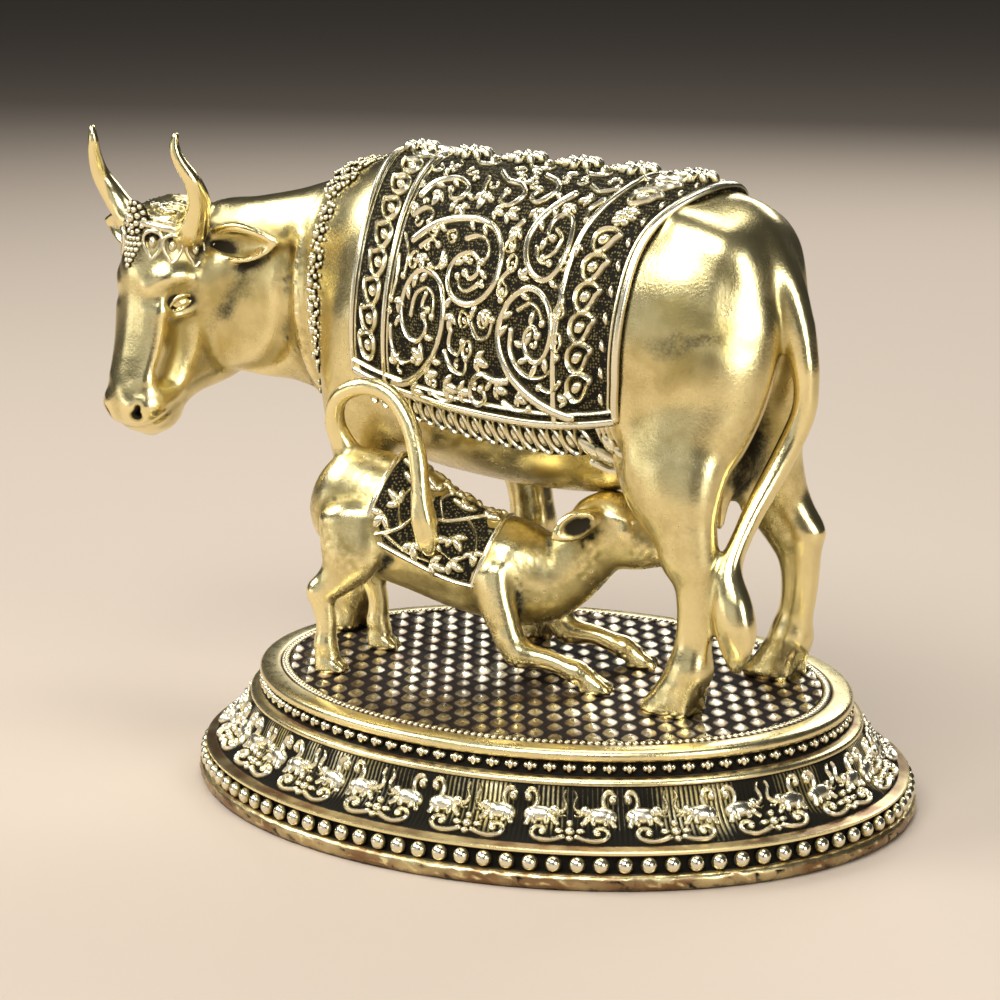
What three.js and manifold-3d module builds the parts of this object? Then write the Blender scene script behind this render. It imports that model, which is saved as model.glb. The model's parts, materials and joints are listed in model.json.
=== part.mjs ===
// Brass figure of a standing cow with her suckling calf on an oval plinth.
// Millimetres, +Z up. The origin is the middle of the plinth's underside, X runs along the
// plinth, the cow looks towards -X with her head turned to her left (-Y).
import * as THREE from 'three';
import Module from 'manifold-3d';

const wasm = await Module();
wasm.setup();
const { Manifold, Mesh } = wasm;

// Driving dimensions.
const COW_HEIGHT = 116;        // plate to the top of the spine
const PLINTH_HEIGHT = 26.4;    // table to plate
const HOOF_MARGIN = 2.9;       // plate left in front of the foremost hoof
const PLATE_ROUNDNESS = 0.814; // plate width over plate length
const PLINTH_SPREAD = 15.2;    // how far the foot runs out past the plate
const CASTING_GAP = 0.3;       // seam between two castings
const BIG_BEAD_PITCH = 5.06;
const FRIEZE_PITCH = 22.6;     // length of one pair of elephants
const CLOTH_THICKNESS = 1.2;
const RIB_WIDTH = 1.7;
const BAND_DROPS = 9;          // teardrops of one band on one side
const FRINGE_DROPS = 13;       // teardrops of one side's fringe
const SPINE_FLOWERS = 6;
const GARLAND_BEADS = 11;      // on one side of the neck

// Counts are whole numbers.
const bandDrops = Math.round(BAND_DROPS);
const fringeDrops = Math.round(FRINGE_DROPS);
const spineFlowers = Math.round(SPINE_FLOWERS);
const garlandBeads = Math.round(GARLAND_BEADS);

// The tables below are in parts, 116 of them in the cow's height.
const UNIT = COW_HEIGHT / 116;
const COW_Y = 9.5 * UNIT;
const PLATE_A = 71 * UNIT + HOOF_MARGIN;
const PLATE_B = PLATE_A * PLATE_ROUNDNESS;
const DECK = PLINTH_HEIGHT + CASTING_GAP;

const V = (x, y, z) => new THREE.Vector3(x, y, z);
const cowPoint = (x, y, z) => V(x * UNIT, y * UNIT + COW_Y, z * UNIT + DECK);

// Value at t (0..n-1) of a smooth curve through the rows of a table.
function onTable(rows, t) {
  const n = rows.length;
  const i = Math.min(Math.max(Math.floor(t), 0), n - 2);
  const s = t - i;
  const at = (k) => rows[Math.min(Math.max(k, 0), n - 1)];
  const [p, q, r, w] = [at(i - 1), at(i), at(i + 1), at(i + 2)];
  return q.map((_, k) => {
    const m0 = (r[k] - p[k]) / 2;
    const m1 = (w[k] - q[k]) / 2;
    const d = r[k] - q[k];
    return q[k] + s * (m0 + s * (3 * d - 2 * m0 - m1 + s * (m0 + m1 - 2 * d)));
  });
}

// Value at x of a table whose first column rises.
function atX(rows, x) {
  let i = 0;
  while (i < rows.length - 2 && x > rows[i + 1][0]) i += 1;
  const t = i + (x - rows[i][0]) / (rows[i + 1][0] - rows[i][0]);
  return onTable(rows, Math.min(Math.max(t, 0), rows.length - 1));
}

// One closed solid of corner points and triangles, turned to face out.
function solid(points, faces) {
  let volume = 0;
  for (const [a, b, c] of faces) {
    volume += points[a].dot(points[b].clone().cross(points[c]));
  }
  const order = volume < 0 ? faces.map(([a, b, c]) => [a, c, b]) : faces;
  const mesh = new Mesh({
    numProp: 3,
    vertProperties: new Float32Array(points.flatMap((p) => [p.x, p.y, p.z])),
    triVerts: new Uint32Array(order.flat()),
  });
  mesh.merge();
  return new Manifold(mesh);
}

// A closed skin through rings of equally many points, each end closed round a middle point.
function skin(rings, first, last) {
  const n = rings[0].length;
  const points = rings.flat();
  const faces = [];
  for (let i = 0; i + 1 < rings.length; i += 1) {
    for (let j = 0; j < n; j += 1) {
      const a = i * n + j;
      const b = i * n + (j + 1) % n;
      faces.push([a, b, b + n], [a, b + n, a + n]);
    }
  }
  const start = points.length;
  points.push(first, last);
  const top = (rings.length - 1) * n;
  for (let j = 0; j < n; j += 1) {
    faces.push([start, (j + 1) % n, j]);
    faces.push([start + 1, top + j, top + (j + 1) % n]);
  }
  return solid(points, faces);
}

// A body through stations [x, y, z, deep, wide]; the deep half size lies along `deep`.
function limb(stations, deep, { sides = 10, round = 0.7, place = cowPoint } = {}) {
  const count = stations.length - 1;
  const mid = stations.map((r) => place(r[0], r[1], r[2]));
  const rings = [];
  const ends = [];
  stations.forEach((row, i) => {
    const along = mid[Math.min(i + 1, count)].clone().sub(mid[Math.max(i - 1, 0)]).normalize();
    const d = deep.clone().addScaledVector(along, -deep.dot(along)).normalize();
    const w = along.clone().cross(d);
    const ring = (shift, size) => Array.from({ length: sides }, (_, j) => {
      const a = (2 * Math.PI * (j + 0.5)) / sides;
      return mid[i].clone().addScaledVector(along, shift)
        .addScaledVector(d, Math.cos(a) * row[3] * UNIT * size)
        .addScaledVector(w, Math.sin(a) * row[4] * UNIT * size);
    });
    const bulge = round * Math.min(row[3], row[4]) * UNIT;
    if (i === 0) {
      if (round) rings.push(ring(-bulge * 0.6, 0.75));
      ends.push(mid[i].clone().addScaledVector(along, -bulge));
    }
    rings.push(ring(0, 1));
    if (i === count) {
      if (round) rings.push(ring(bulge * 0.6, 0.75));
      ends.push(mid[i].clone().addScaledVector(along, bulge));
    }
  });
  return skin(rings, ends[0], ends[1]);
}

// A rod through given points; its radius is a number or a function of the way along it.
function rod(points, radius, sides = 5) {
  const n = points.length;
  let side = null;
  const rings = points.map((p, i) => {
    const along = points[Math.min(i + 1, n - 1)].clone().sub(points[Math.max(i - 1, 0)]).normalize();
    if (!side) side = V(0.31, 0.42, 0.85);
    side = side.clone().addScaledVector(along, -side.dot(along)).normalize();
    const other = along.clone().cross(side);
    const r = typeof radius === 'function' ? radius(i / (n - 1)) : radius;
    return Array.from({ length: sides }, (_, j) => {
      const a = (2 * Math.PI * j) / sides;
      return p.clone().addScaledVector(side, r * Math.cos(a)).addScaledVector(other, r * Math.sin(a));
    });
  });
  return skin(rings, points[0], points[n - 1]);
}

// Slivers thinner than this, left by joining, are closed.
const SLIVER = 0.25;
const join = (list) => Manifold.union(list);

// The plinth is an oval foot: every ring is the plate's outline moved out by the same amount.

const oval = (t, out, z) => V((PLATE_A + out) * Math.cos(t), (PLATE_B + out) * Math.sin(t), z);

// Angles that share an oval's edge out evenly.
function evenly(count, out) {
  const fine = 2000;
  const lengths = [0];
  for (let i = 1; i <= fine; i += 1) {
    const a = oval((2 * Math.PI * (i - 1)) / fine, out, 0);
    const b = oval((2 * Math.PI * i) / fine, out, 0);
    lengths.push(lengths[i - 1] + a.distanceTo(b));
  }
  const angles = [];
  let k = 0;
  for (let j = 0; j < count; j += 1) {
    const want = (lengths[fine] * j) / count;
    while (lengths[k + 1] < want) k += 1;
    angles.push((2 * Math.PI * (k + (want - lengths[k]) / (lengths[k + 1] - lengths[k]))) / fine);
  }
  return angles;
}

function edgeLength(out) {
  const a = PLATE_A + out;
  const b = PLATE_B + out;
  const h = ((a - b) / (a + b)) ** 2;
  return Math.PI * (a + b) * (1 + (3 * h) / (10 + Math.sqrt(4 - 3 * h)));
}

// The profile and the beads' seat are drawn for a foot 15.2 wide and 26.4 high.
const OUT = PLINTH_SPREAD / 15.2;
const UP = PLINTH_HEIGHT / 26.4;
const BEAD_SEAT = { root: 12.7, crest: 15.2, middle: 5.6 };
// Out from the plate's edge and up from the table, bottom to top.
const PLINTH_PROFILE = [
  [14.3, 0], [15.2, 1.4], [15, 3.3], [13, 3.7], [13, 7.4], [13.4, 8.3], [11, 8.8],
  [6.4, 12.4], [2.6, 19.2], [2, 20.4], [-0.2, 20.9], [-1.1, 22.4], [-0.2, 23.8],
  [0.4, 25.2], [-0.6, 26.4],
];

const ring = (angles, out, z) => angles.map((t) => ({ t, p: oval(t, out * OUT, z * UP) }));

// A skin through rings of any number of points, each point carrying its angle round the oval.
function zipped(rings, bottom, top) {
  const points = [];
  const starts = rings.map((r) => {
    const at = points.length;
    points.push(...r.map((q) => q.p));
    return at;
  });
  const faces = [];
  for (let k = 0; k + 1 < rings.length; k += 1) {
    const [low, high] = [rings[k], rings[k + 1]];
    const angle = (r, i) => r[i % r.length].t + (i >= r.length ? 2 * Math.PI : 0);
    let i = 0;
    let j = 0;
    while (i < low.length || j < high.length) {
      const a = starts[k] + (i % low.length);
      const b = starts[k + 1] + (j % high.length);
      const ahead = angle(low, i + 1) - angle(high, j + 1);
      const lowFirst = Math.abs(ahead) < 1e-9 ? low.length <= high.length : ahead < 0;
      const stepLow = j >= high.length || (i < low.length && lowFirst);
      if (stepLow) {
        faces.push([a, starts[k] + ((i + 1) % low.length), b]);
        i += 1;
      } else {
        faces.push([a, starts[k + 1] + ((j + 1) % high.length), b]);
        j += 1;
      }
    }
  }
  const n = points.length;
  points.push(bottom, top);
  const last = rings.length - 1;
  const next = (k, i) => starts[k] + ((i + 1) % rings[k].length);
  rings[0].forEach((_, i) => faces.push([n, next(0, i), starts[0] + i]));
  rings[last].forEach((_, i) => faces.push([n + 1, starts[last] + i, next(last, i)]));
  return solid(points, faces);
}

// A low pyramid standing on a closed outline; `root` lies under the surface, `tip` above it.
function stud(outline, root, tip) {
  return skin([outline], root, tip);
}

function bead(at, out, size) {
  const up = Math.abs(out.z) > 0.9 ? V(1, 0, 0) : V(0, 0, 1);
  const across = out.clone().cross(up).normalize();
  const lift = across.clone().cross(out).normalize();
  const outline = Array.from({ length: 4 }, (_, j) => {
    const a = (Math.PI * (2 * j + 1)) / 4;
    return at.clone().addScaledVector(across, Math.cos(a) * size).addScaledVector(lift, Math.sin(a) * size);
  });
  const root = at.clone().addScaledVector(out, -size);
  return stud(outline, root, at.clone().addScaledVector(out, size * 0.75));
}

function plinth() {
  const angles = evenly(48, 8);
  const count = Math.round(edgeLength(13 * OUT) / BIG_BEAD_PITCH);
  const knots = evenly(count, 13 * OUT);
  const halves = knots.flatMap((t, i) => [t, (t + (i + 1 < count ? knots[i + 1] : 2 * Math.PI)) / 2]);
  const rings = [];
  PLINTH_PROFILE.forEach(([out, z], k) => {
    // the big beads stand in the channel between its two edges
    if (k === 4) {
      const { root, crest, middle } = BEAD_SEAT;
      rings.push(halves.map((t, i) => ({ t, p: oval(t, (i % 2 ? crest : root) * OUT, middle * UP) })));
    }
    rings.push(ring(k === 3 || k === 4 ? knots : angles, out, z));
  });
  const body = zipped(rings, V(0, 0, 0), V(0, 0, PLINTH_HEIGHT));
  // The frieze: s counts its repeats round the foot, h climbs from its foot to its top.
  const repeats = Math.max(6, Math.round(edgeLength(7 * OUT) / FRIEZE_PITCH));
  const table = evenly(repeats * 40, 7 * OUT);
  const angleAt = (s) => {
    const u = (((s * 40) % table.length) + table.length) % table.length;
    const i = Math.floor(u);
    const next = i + 1 < table.length ? table[i + 1] : 2 * Math.PI;
    return table[i] + (u - i) * (next - table[i]);
  };
  const at = (s, h, lift) => {
    const t = angleAt(s);
    const sag = Math.sin(Math.PI * h);
    const out = (11 - 8.4 * h - 0.9 * sag) * OUT;
    const z = (8.8 + 10.4 * h - 1.1 * sag) * UP;
    const n = V(Math.cos(t) * (PLATE_B + out), Math.sin(t) * (PLATE_A + out), 0).normalize();
    return oval(t, out, z).addScaledVector(n, lift * 0.75).add(V(0, 0, lift * 0.66));
  };
  const extras = [];
  for (let k = 0; k < repeats; k += 1) {
    for (const side of [-1, 1]) {
      const q = (s, h, lift) => at(k + 0.5 + side * s, h, lift * OUT);
      const patch = (shape, mid, lift) => {
        const outline = shape.map(([s, h]) => q(s, h, -0.15));
        extras.push(stud(outline, q(mid[0], mid[1], -1.3), q(mid[0], mid[1], lift)));
      };
      // an elephant seen from the side, its trunk raised towards the next pair, and below it
      // one arm of a scroll
      patch([[0.09, 0.36], [0.13, 0.88], [0.33, 0.74], [0.45, 1], [0.46, 0.5]], [0.24, 0.62], 1.9);
      patch([[0.49, 0.2], [0.38, 0.33], [0.29, 0.1]], [0.39, 0.2], 1.3);
    }
  }
  return join([body, ...extras]);
}

// The cow. Rows of the trunk: x, height of the middle, half height, half width.
const TRUNK = [
  [-75, 85, 13, 9], [-71, 85, 20, 13], [-64, 84, 28, 18], [-54, 81.8, 34.6, 22.5],
  [-42, 80.2, 36.6, 25.6], [-27, 79.2, 37, 28], [-8, 78.8, 37.2, 29.5], [12, 79.2, 36.3, 28.8],
  [30, 81.5, 33.5, 27], [42, 86, 28, 23], [50, 91, 20.5, 17], [54.5, 94.5, 13, 11],
];

function trunkPoint(x, angle, lift = 0) {
  const [, z, h, w] = atX(TRUNK, x);
  const t = lift / UNIT;
  return cowPoint(x, (w + t) * Math.sin(angle), z + (h + t) * Math.cos(angle));
}

const RAD = Math.PI / 180;

// Angles from the spine are in degrees, the cow's left side (-Y) is negative.
const CLOTH_FRONT = [[0, -53], [52, -47.5], [80, -47], [116, -48.5], [122, -49]];
const CLOTH_REAR = [[0, 41.5], [18, 40], [47, 34.5], [75, 33], [103, 31.6], [119, 30]];
const frontX = (a) => atX(CLOTH_FRONT, Math.abs(a))[1];
const rearX = (a) => atX(CLOTH_REAR, Math.abs(a))[1];
const hemAngle = (u) => 110 + 9 * u;
const FRONT_BAND = 0.155;
const REAR_BAND = 0.8;

// A place on the cloth: u runs from its front edge to its rear edge, a is the angle in degrees.
function clothPoint(u, a, lift) {
  const x = frontX(a) + u * (rearX(a) - frontX(a));
  return trunkPoint(x, a * RAD, lift);
}

// The cloth with the ribs of its borders: a sheet of columns from hem to hem. A column of a
// band holds that band's studs, so it has more points than the others.
function cloth() {
  const rib = RIB_WIDTH / UNIT / 88;
  const low = CLOTH_THICKNESS;
  const high = low + RIB_WIDTH * 0.5;
  const plain = (u, lift) => {
    const inner = 14;
    const rows = Array.from({ length: inner + 1 }, (_, j) => [-1 + (2 * j) / inner, 0, lift]);
    const crest = Math.max(lift, high);
    const hem = (side) => [[side, 0, 0.2], [side, -side * 1.3, crest], [side, -side * 2.6, lift]];
    rows.splice(inner, 1, ...hem(1).reverse());
    rows.splice(0, 1, ...hem(-1));
    return rows.map(([share, shift, out]) => (
      { u, a: share * hemAngle(u) + shift, lift: Math.max(out, 0.2) }));
  };
  const studded = (u) => {
    const rows = [{ u, a: -hemAngle(u), lift: 0.2 }, { u, a: 1.3 - hemAngle(u), lift: high }];
    for (let j = 0; j <= 4 * bandDrops + 2; j += 1) {
      const share = -1 + (2 * j) / (4 * bandDrops + 2);
      rows.push({ u, a: share * (hemAngle(u) - 2.6), lift: j % 2 ? high + 0.4 : low });
    }
    return [...rows, { u, a: hemAngle(u) - 1.3, lift: high }, { u, a: hemAngle(u), lift: 0.2 }];
  };
  const ribAt = (u) => [plain(u - rib / 2, low), plain(u, high), plain(u + rib / 2, low)];
  const columns = [
    plain(0, 0.2), plain(rib * 0.7, high), plain(rib * 1.4, low), studded(0.088),
    ...ribAt(FRONT_BAND), plain(0.48, low), ...ribAt(REAR_BAND),
    studded(0.893), plain(1 - rib * 1.4, low), plain(1 - rib * 0.7, high), plain(1, 0.2),
  ];
  const points = [];
  const faces = [];
  const layer = (inside) => columns.map((column) => {
    const at = points.length;
    points.push(...column.map(({ u, a, lift }) => clothPoint(u, a, inside ? -2.5 * UNIT : lift)));
    return at;
  });
  const outer = layer(false);
  const inner = layer(true);
  for (let k = 0; k + 1 < columns.length; k += 1) {
    const [p, q] = [columns[k], columns[k + 1]];
    let i = 0;
    let j = 0;
    while (i + 1 < p.length || j + 1 < q.length) {
      const share = (column, n) => column[n].a / hemAngle(column[n].u);
      const stepP = j + 1 >= q.length || (i + 1 < p.length && share(p, i + 1) <= share(q, j + 1));
      const [di, dj] = stepP ? [1, 0] : [0, 1];
      const third = (at) => (stepP ? at[k] + i + 1 : at[k + 1] + j + 1);
      faces.push([outer[k] + i, third(outer), outer[k + 1] + j]);
      faces.push([inner[k] + i, inner[k + 1] + j, third(inner)]);
      i += di;
      j += dj;
    }
  }
  const rim = [];
  const last = columns.length - 1;
  columns[0].forEach((_, j) => rim.push([outer[0] + j, inner[0] + j]));
  for (let k = 1; k <= last; k += 1) {
    const j = columns[k].length - 1;
    rim.push([outer[k] + j, inner[k] + j]);
  }
  for (let j = columns[last].length - 2; j >= 0; j -= 1) rim.push([outer[last] + j, inner[last] + j]);
  for (let k = last - 1; k > 0; k -= 1) rim.push([outer[k], inner[k]]);
  rim.forEach(([a, c], k) => {
    const [b, d] = rim[(k + 1) % rim.length];
    faces.push([a, c, d], [a, d, b]);
  });
  return solid(points, faces);
}

// A raised teardrop lying on a surface, pointed at its tip.
function drop(tip, heart, wide, up, height) {
  const along = tip.clone().sub(heart);
  const length = along.length();
  along.normalize();
  const n = up.clone().addScaledVector(along, -up.dot(along)).normalize();
  const side = n.clone().cross(along);
  const p = (a, s, h) => heart.clone().addScaledVector(along, a * length)
    .addScaledVector(side, s * wide).addScaledVector(n, h);
  const outline = [p(1, 0, -0.3), p(-0.4, 1, -0.4), p(-0.4, -1, -0.4)];
  return stud(outline, p(0, 0, -height - 0.8), p(-0.05, 0, height));
}

// The fringe of one side: a zigzag sheet of teardrops hanging from the hem.
function fringe(side) {
  const count = 2 * fringeDrops;
  const column = (k, inside) => {
    const u = 0.012 + (0.976 * k) / count;
    const drip = 9 + 14 * u;
    const full = k % 2 === 1;
    const slant = (h) => u - 0.012 * h;
    const rows = full ? [[0, -0.6, 0.9], [0.55, drip * 0.6, 1.3], [1, drip, 0.3]]
      : [[0, -0.6, 0.9], [0.55, drip * 0.55, -0.5], [1, drip * 0.8, -0.8]];
    return rows.map(([h, fall, lift]) => (
      clothPoint(slant(h), side * (hemAngle(u) + fall), inside ? -2.5 * UNIT : lift)));
  };
  const points = [];
  for (let k = 0; k <= count; k += 1) points.push(...column(k, false));
  const n = points.length;
  for (let k = 0; k <= count; k += 1) points.push(...column(k, true));
  const faces = [];
  const quad = (a, b, c, d) => faces.push([a, b, c], [a, c, d]);
  for (let k = 0; k < count; k += 1) {
    for (let j = 0; j < 2; j += 1) {
      const a = 3 * k + j;
      if (k % 2) quad(a, a + 1, a + 4, a + 3);
      else quad(a + 3, a, a + 1, a + 4);
      quad(n + a, n + a + 3, n + a + 4, n + a + 1);
    }
    quad(3 * k, 3 * k + 3, n + 3 * k + 3, n + 3 * k);
    quad(3 * k + 5, 3 * k + 2, n + 3 * k + 2, n + 3 * k + 5);
  }
  for (let j = 0; j < 2; j += 1) {
    quad(j + 1, j, n + j, n + j + 1);
    quad(3 * count + j, 3 * count + j + 1, n + 3 * count + j + 1, n + 3 * count + j);
  }
  return solid(points, faces);
}

// Volutes of the field: u, angle, size, where the scroll starts and which way it turns.
const VOLUTES = [[0.3, 74, 11, 2.6, 1], [0.54, 44, 11.5, 0.4, -1], [0.66, 88, 10.5, 3.6, 1]];

function clothRelief() {
  const out = [];
  const top = CLOTH_THICKNESS;
  for (const side of [-1, 1]) {
    out.push(fringe(side));
    for (const [u, a, size, turn, hand] of VOLUTES) {
      const path = [];
      const [, , h, w] = atX(TRUNK, frontX(a) + u * (rearX(a) - frontX(a)));
      const steps = 7;
      for (let i = 0; i <= steps; i += 1) {
        const s = i / steps;
        const r = size * (1 - 0.78 * s);
        const t = turn + hand * s * 2.1 * Math.PI;
        const du = (r * Math.cos(t)) / 88;
        const da = (r * Math.sin(t)) / (Math.sqrt(h * w) * RAD);
        path.push(clothPoint(u + du, side * (a + da), top * 0.9));
      }
      out.push(rod(path, (s) => (1.3 - 0.4 * s) * UNIT, 3));
    }
  }
  // flowers along the spine
  for (let k = 0; k < spineFlowers; k += 1) {
    const u = 0.06 + (0.86 * k) / (spineFlowers - 1);
    const middle = clothPoint(u, 0, top);
    const outline = Array.from({ length: 6 }, (_, j) => {
      const a = (Math.PI * j) / 3;
      return middle.clone().add(V(3.9 * Math.cos(a), 3.9 * Math.sin(a), -0.8).multiplyScalar(UNIT));
    });
    const at = (rise) => middle.clone().setZ(middle.z + rise);
    out.push(stud(outline, at(-2), at(1.7 * UNIT)));
  }
  return out;
}

// The head's own axes: forward along the nose's side, left, up.
const HEAD_TURN = 6 * RAD;
const HEAD_AT = [-112, -23, 100];
function headPoint(f, l, u) {
  const [x, y, z] = HEAD_AT;
  return cowPoint(x - f * Math.sin(HEAD_TURN) + l * Math.cos(HEAD_TURN),
    y - f * Math.cos(HEAD_TURN) - l * Math.sin(HEAD_TURN), z + u);
}
const FACE = V(-Math.sin(HEAD_TURN), -Math.cos(HEAD_TURN), 0);

// Level sections of the head: how far down, forward, half deep, half wide.
const HEAD = [
  [-3.6, -4, 6.6, 6], [-0.6, -4.8, 12, 9.8], [4, -7.4, 16.2, 11.2], [12, -10.3, 21.3, 12.2],
  [19, -10.2, 21.4, 12.5], [26, -9.4, 21.4, 11.8], [34, -6.4, 19.9, 10.4], [38, -3, 17.5, 9.6],
  [42, 3, 12.6, 9.1], [46, 6.1, 9.6, 9.1], [50, 6, 8.1, 7.5], [52.8, 5.6, 5, 5],
];
// forward, left, up, half deep, half wide
const HORN = [
  [-1.4, 6.6, -5.4, 3.5, 3.5], [0.4, 12.8, -1.2, 3.4, 3.4], [2.2, 17, 4.4, 2.9, 2.9],
  [4.9, 18.4, 9.6, 2.25, 2.25], [7.6, 16.9, 14.6, 1.7, 1.7], [8.6, 16, 18.2, 1.35, 1.35],
  [8.5, 16.4, 21.4, 0.95, 0.95],
];
const EAR = [
  [-6.5, 9, -6.5, 2.4, 2], [-7, 14, -5.9, 2.8, 2], [-7.6, 20, -5.6, 3.9, 1.9], [-8, 25.5, -5.4, 3.7, 1.7],
  [-8.3, 30, -4.8, 2, 1.3], [-8.3, 33.4, -4.2, 0.7, 0.6],
];
const EAR_HOLLOW = [
  [-5.4, 13, -6, 0.6, 0.9], [-6, 19.5, -5.7, 2.6, 1.4], [-6.5, 25, -5.4, 2.4, 1.3],
  [-7.2, 30.5, -4.8, 0.6, 0.7],
];
const NOSTRIL = [[11.4, 4.8, -46.3, 1, 1], [17.4, 8.4, -46.9, 1.3, 1.5]];
// Degrees from the middle of the face and height.
const BROW = [[30, -15.4, -0.6], [44, -15, 0.1], [58, -16.2, 0], [68, -18.4, -0.6]];
const LIDS = [[38, -21.8], [46, -22.3], [57, -21], [64, -18.8], [57, -18.2], [45, -19.4]];
const PETAL_ANGLES = [-69, -48, -27, 27, 48, 69];
const NECK = [
  [-50, 0, 82, 32, 20], [-62, 0, 82.2, 30.4, 17.8], [-72, -2, 83, 27.2, 14.6], [-82, -4.6, 83.2, 24, 12.2],
  [-93, -8, 82.6, 22.4, 11.2], [-104, -11, 83, 20.2, 10.6],
];

// A place on the head: angle from the middle of the face, height, and how far off the skin.
function headSkin(angle, u, lift) {
  const [, f, deep, wide] = atX(HEAD, -u);
  return headPoint(f + (deep + lift) * Math.cos(angle), (wide + lift) * Math.sin(angle), u);
}

// A place on the neck; t counts the rows of its table, the angle runs from the crest.
function neckSkin(t, angle, lift) {
  const [x, y, z, deep, wide] = onTable(NECK, t);
  return cowPoint(x, y + (wide + lift) * Math.sin(angle), z + (deep + lift) * Math.cos(angle));
}

function head() {
  const turns = (n) => Array.from({ length: n }, (_, j) => (2 * Math.PI * (j + 0.5)) / n);
  const headRings = HEAD.map(([down]) => turns(12).map((a) => headSkin(a, -down, 0.3)));
  const neckRings = NECK.map((_, t) => turns(12).map((a) => neckSkin(t, a, 0.2)));
  const parts = [
    skin(headRings, headPoint(-4, 0, 5), headPoint(5, 0, -54.2)),
    skin(neckRings, cowPoint(-49, 0, 82), cowPoint(-106, -12.5, 83)),
  ];
  for (const side of [-1, 1]) {
    const place = (f, l, u) => headPoint(f, side * l, u);
    parts.push(limb(HORN, FACE, { sides: 5, place, round: 0 }));
    const ear = limb(EAR, V(0, 0, 1), { sides: 6, place, round: 0 });
    parts.push(ear.subtract(limb(EAR_HOLLOW, V(0, 0, 1), { sides: 4, place, round: 0 })));
    // brow and eye
    const skinAt = (angle, u, lift) => headSkin(side * angle * RAD, u, lift);
    parts.push(rod(BROW.map((row) => skinAt(...row)), 1.4 * UNIT, 4));
    const lids = LIDS.map(([angle, u]) => skinAt(angle, u, 0.2));
    parts.push(stud(lids, skinAt(51, -20.2, -2), skinAt(51, -20.2, 1.5)));
  }
  // headband across the forehead with its petals, rosette and pendant
  const band = Array.from({ length: 9 }, (_, i) => {
    const a = (22 * i - 88) * RAD;
    return headSkin(a, -0.8 - 3.4 * Math.sin(a) ** 2, 0.4);
  });
  parts.push(rod(band, 1.05 * UNIT, 4));
  for (const angle of PETAL_ANGLES) {
    const a = angle * RAD;
    const heart = headSkin(a, -6.2, 0);
    const off = headSkin(a, -6.2, 1).sub(heart);
    parts.push(drop(headSkin(a, -9.8, 0.2), heart, 2.2 * UNIT, off, 0.9));
  }
  const rosette = Array.from({ length: 6 }, (_, j) => {
    const a = (Math.PI * j) / 3;
    return headSkin(0.36 * Math.sin(a), -0.8 + 3.9 * Math.cos(a), 0.3);
  });
  parts.push(stud(rosette, headSkin(0, -1, -5), headSkin(0, -1, 2.4)));
  parts.push(drop(headSkin(0.05, -15, 0.2), headSkin(0, -7.5, 0), 3.4 * UNIT, FACE, 1));
  const nostrils = [-1, 1].map((side) => limb(NOSTRIL, V(0, 0, 1),
    { sides: 4, place: (f, l, u) => headPoint(f, side * l, u), round: 0 }));
  return join(parts).subtract(join(nostrils));
}

// A cloven hoof whose sole lies flat on the plate; x, y is the middle of the sole.
function hoof([x, y], heading, size = 1, place = cowPoint) {
  const c = Math.cos(heading);
  const s = Math.sin(heading);
  const at = (f, l, z) => place(x + (f * c - l * s) * size, y + (f * s + l * c) * size, z * size);
  return [-1, 1].map((side) => {
    const level = (z, forward, long, wide, gap) => Array.from({ length: 6 }, (_, j) => {
      const a = (Math.PI * (j + 0.5)) / 3;
      return at(forward + long * Math.cos(a), side * (gap + wide * Math.sin(a)), z);
    });
    return skin([level(0, 0.3, 7, 3.3, 3), level(2.4, -0.2, 6.3, 3.2, 2.9), level(8, -2.4, 3.4, 2.4, 2)],
      at(0.3, side * 3, 0), at(-2.6, 0, 9.4));
  });
}

const HIND_LEFT = [
  [34, -8, 92, 15, 11], [38, -10, 80, 18.2, 13.4], [38.4, -11.5, 69, 17.5, 12], [38.4, -14.5, 60, 15.5, 10.2],
  [40.4, -17.3, 53, 13.4, 8.6], [42.6, -19, 47, 10.7, 7], [45.2, -19.5, 40, 7.3, 5.4],
  [47.4, -19.6, 34, 5.4, 4.5],
  [48, -19.6, 28, 4.6, 4], [48, -19.6, 21, 4.2, 3.8], [47.4, -19.7, 14, 4.3, 4], [46.6, -19.9, 8.6, 5.2, 4.8],
  [45.4, -20, 6, 5.4, 5.2],
];
const HIND_RIGHT = [
  [33, 8, 92, 15, 11], [36.5, 9, 80, 17.6, 13], [37, 10.5, 69, 17, 11.6], [37.4, 12.5, 60, 15, 9.8],
  [39.6, 14.5, 53, 13, 8.2], [42, 16.5, 47, 10.6, 6.8], [44.6, 18.4, 41, 8, 5.4], [48.8, 19.2, 34, 6.6, 4.5],
  [49.8, 19.4, 28, 5.2, 4.1], [49.6, 19.6, 21, 4.4, 3.8], [48, 20, 14, 4.1, 3.9], [47, 20.2, 8.6, 5, 4.7],
  [45.6, 20.4, 6, 5.4, 5.1],
];
const FORE_LEFT = [
  [-48, -14, 78, 15, 10], [-52, -14.5, 64, 13, 9.5], [-55, -13.5, 52, 9.5, 7.4], [-56.5, -12, 42, 7, 5.8],
  [-57.5, -10.5, 34, 5.6, 5], [-59.5, -9.5, 28, 5.2, 4.8], [-61, -8.8, 19, 4.2, 3.8],
  [-62, -8.2, 12, 4.6, 4.4],
  [-63.5, -8, 7, 5, 4.8],
];
const FORE_RIGHT = [
  [-44, 14, 78, 15, 10], [-40, 15, 64, 13, 9.5], [-34, 15, 53, 9.5, 7.4], [-28.5, 14.5, 44, 6.6, 5.6],
  [-25, 14, 36, 5.4, 4.8], [-23.5, 13.6, 28, 5.2, 4.6], [-22.3, 13.2, 19, 4.1, 3.7],
  [-21.4, 13, 12, 4.6, 4.2],
  [-22.4, 13, 7, 5, 4.8],
];
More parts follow.
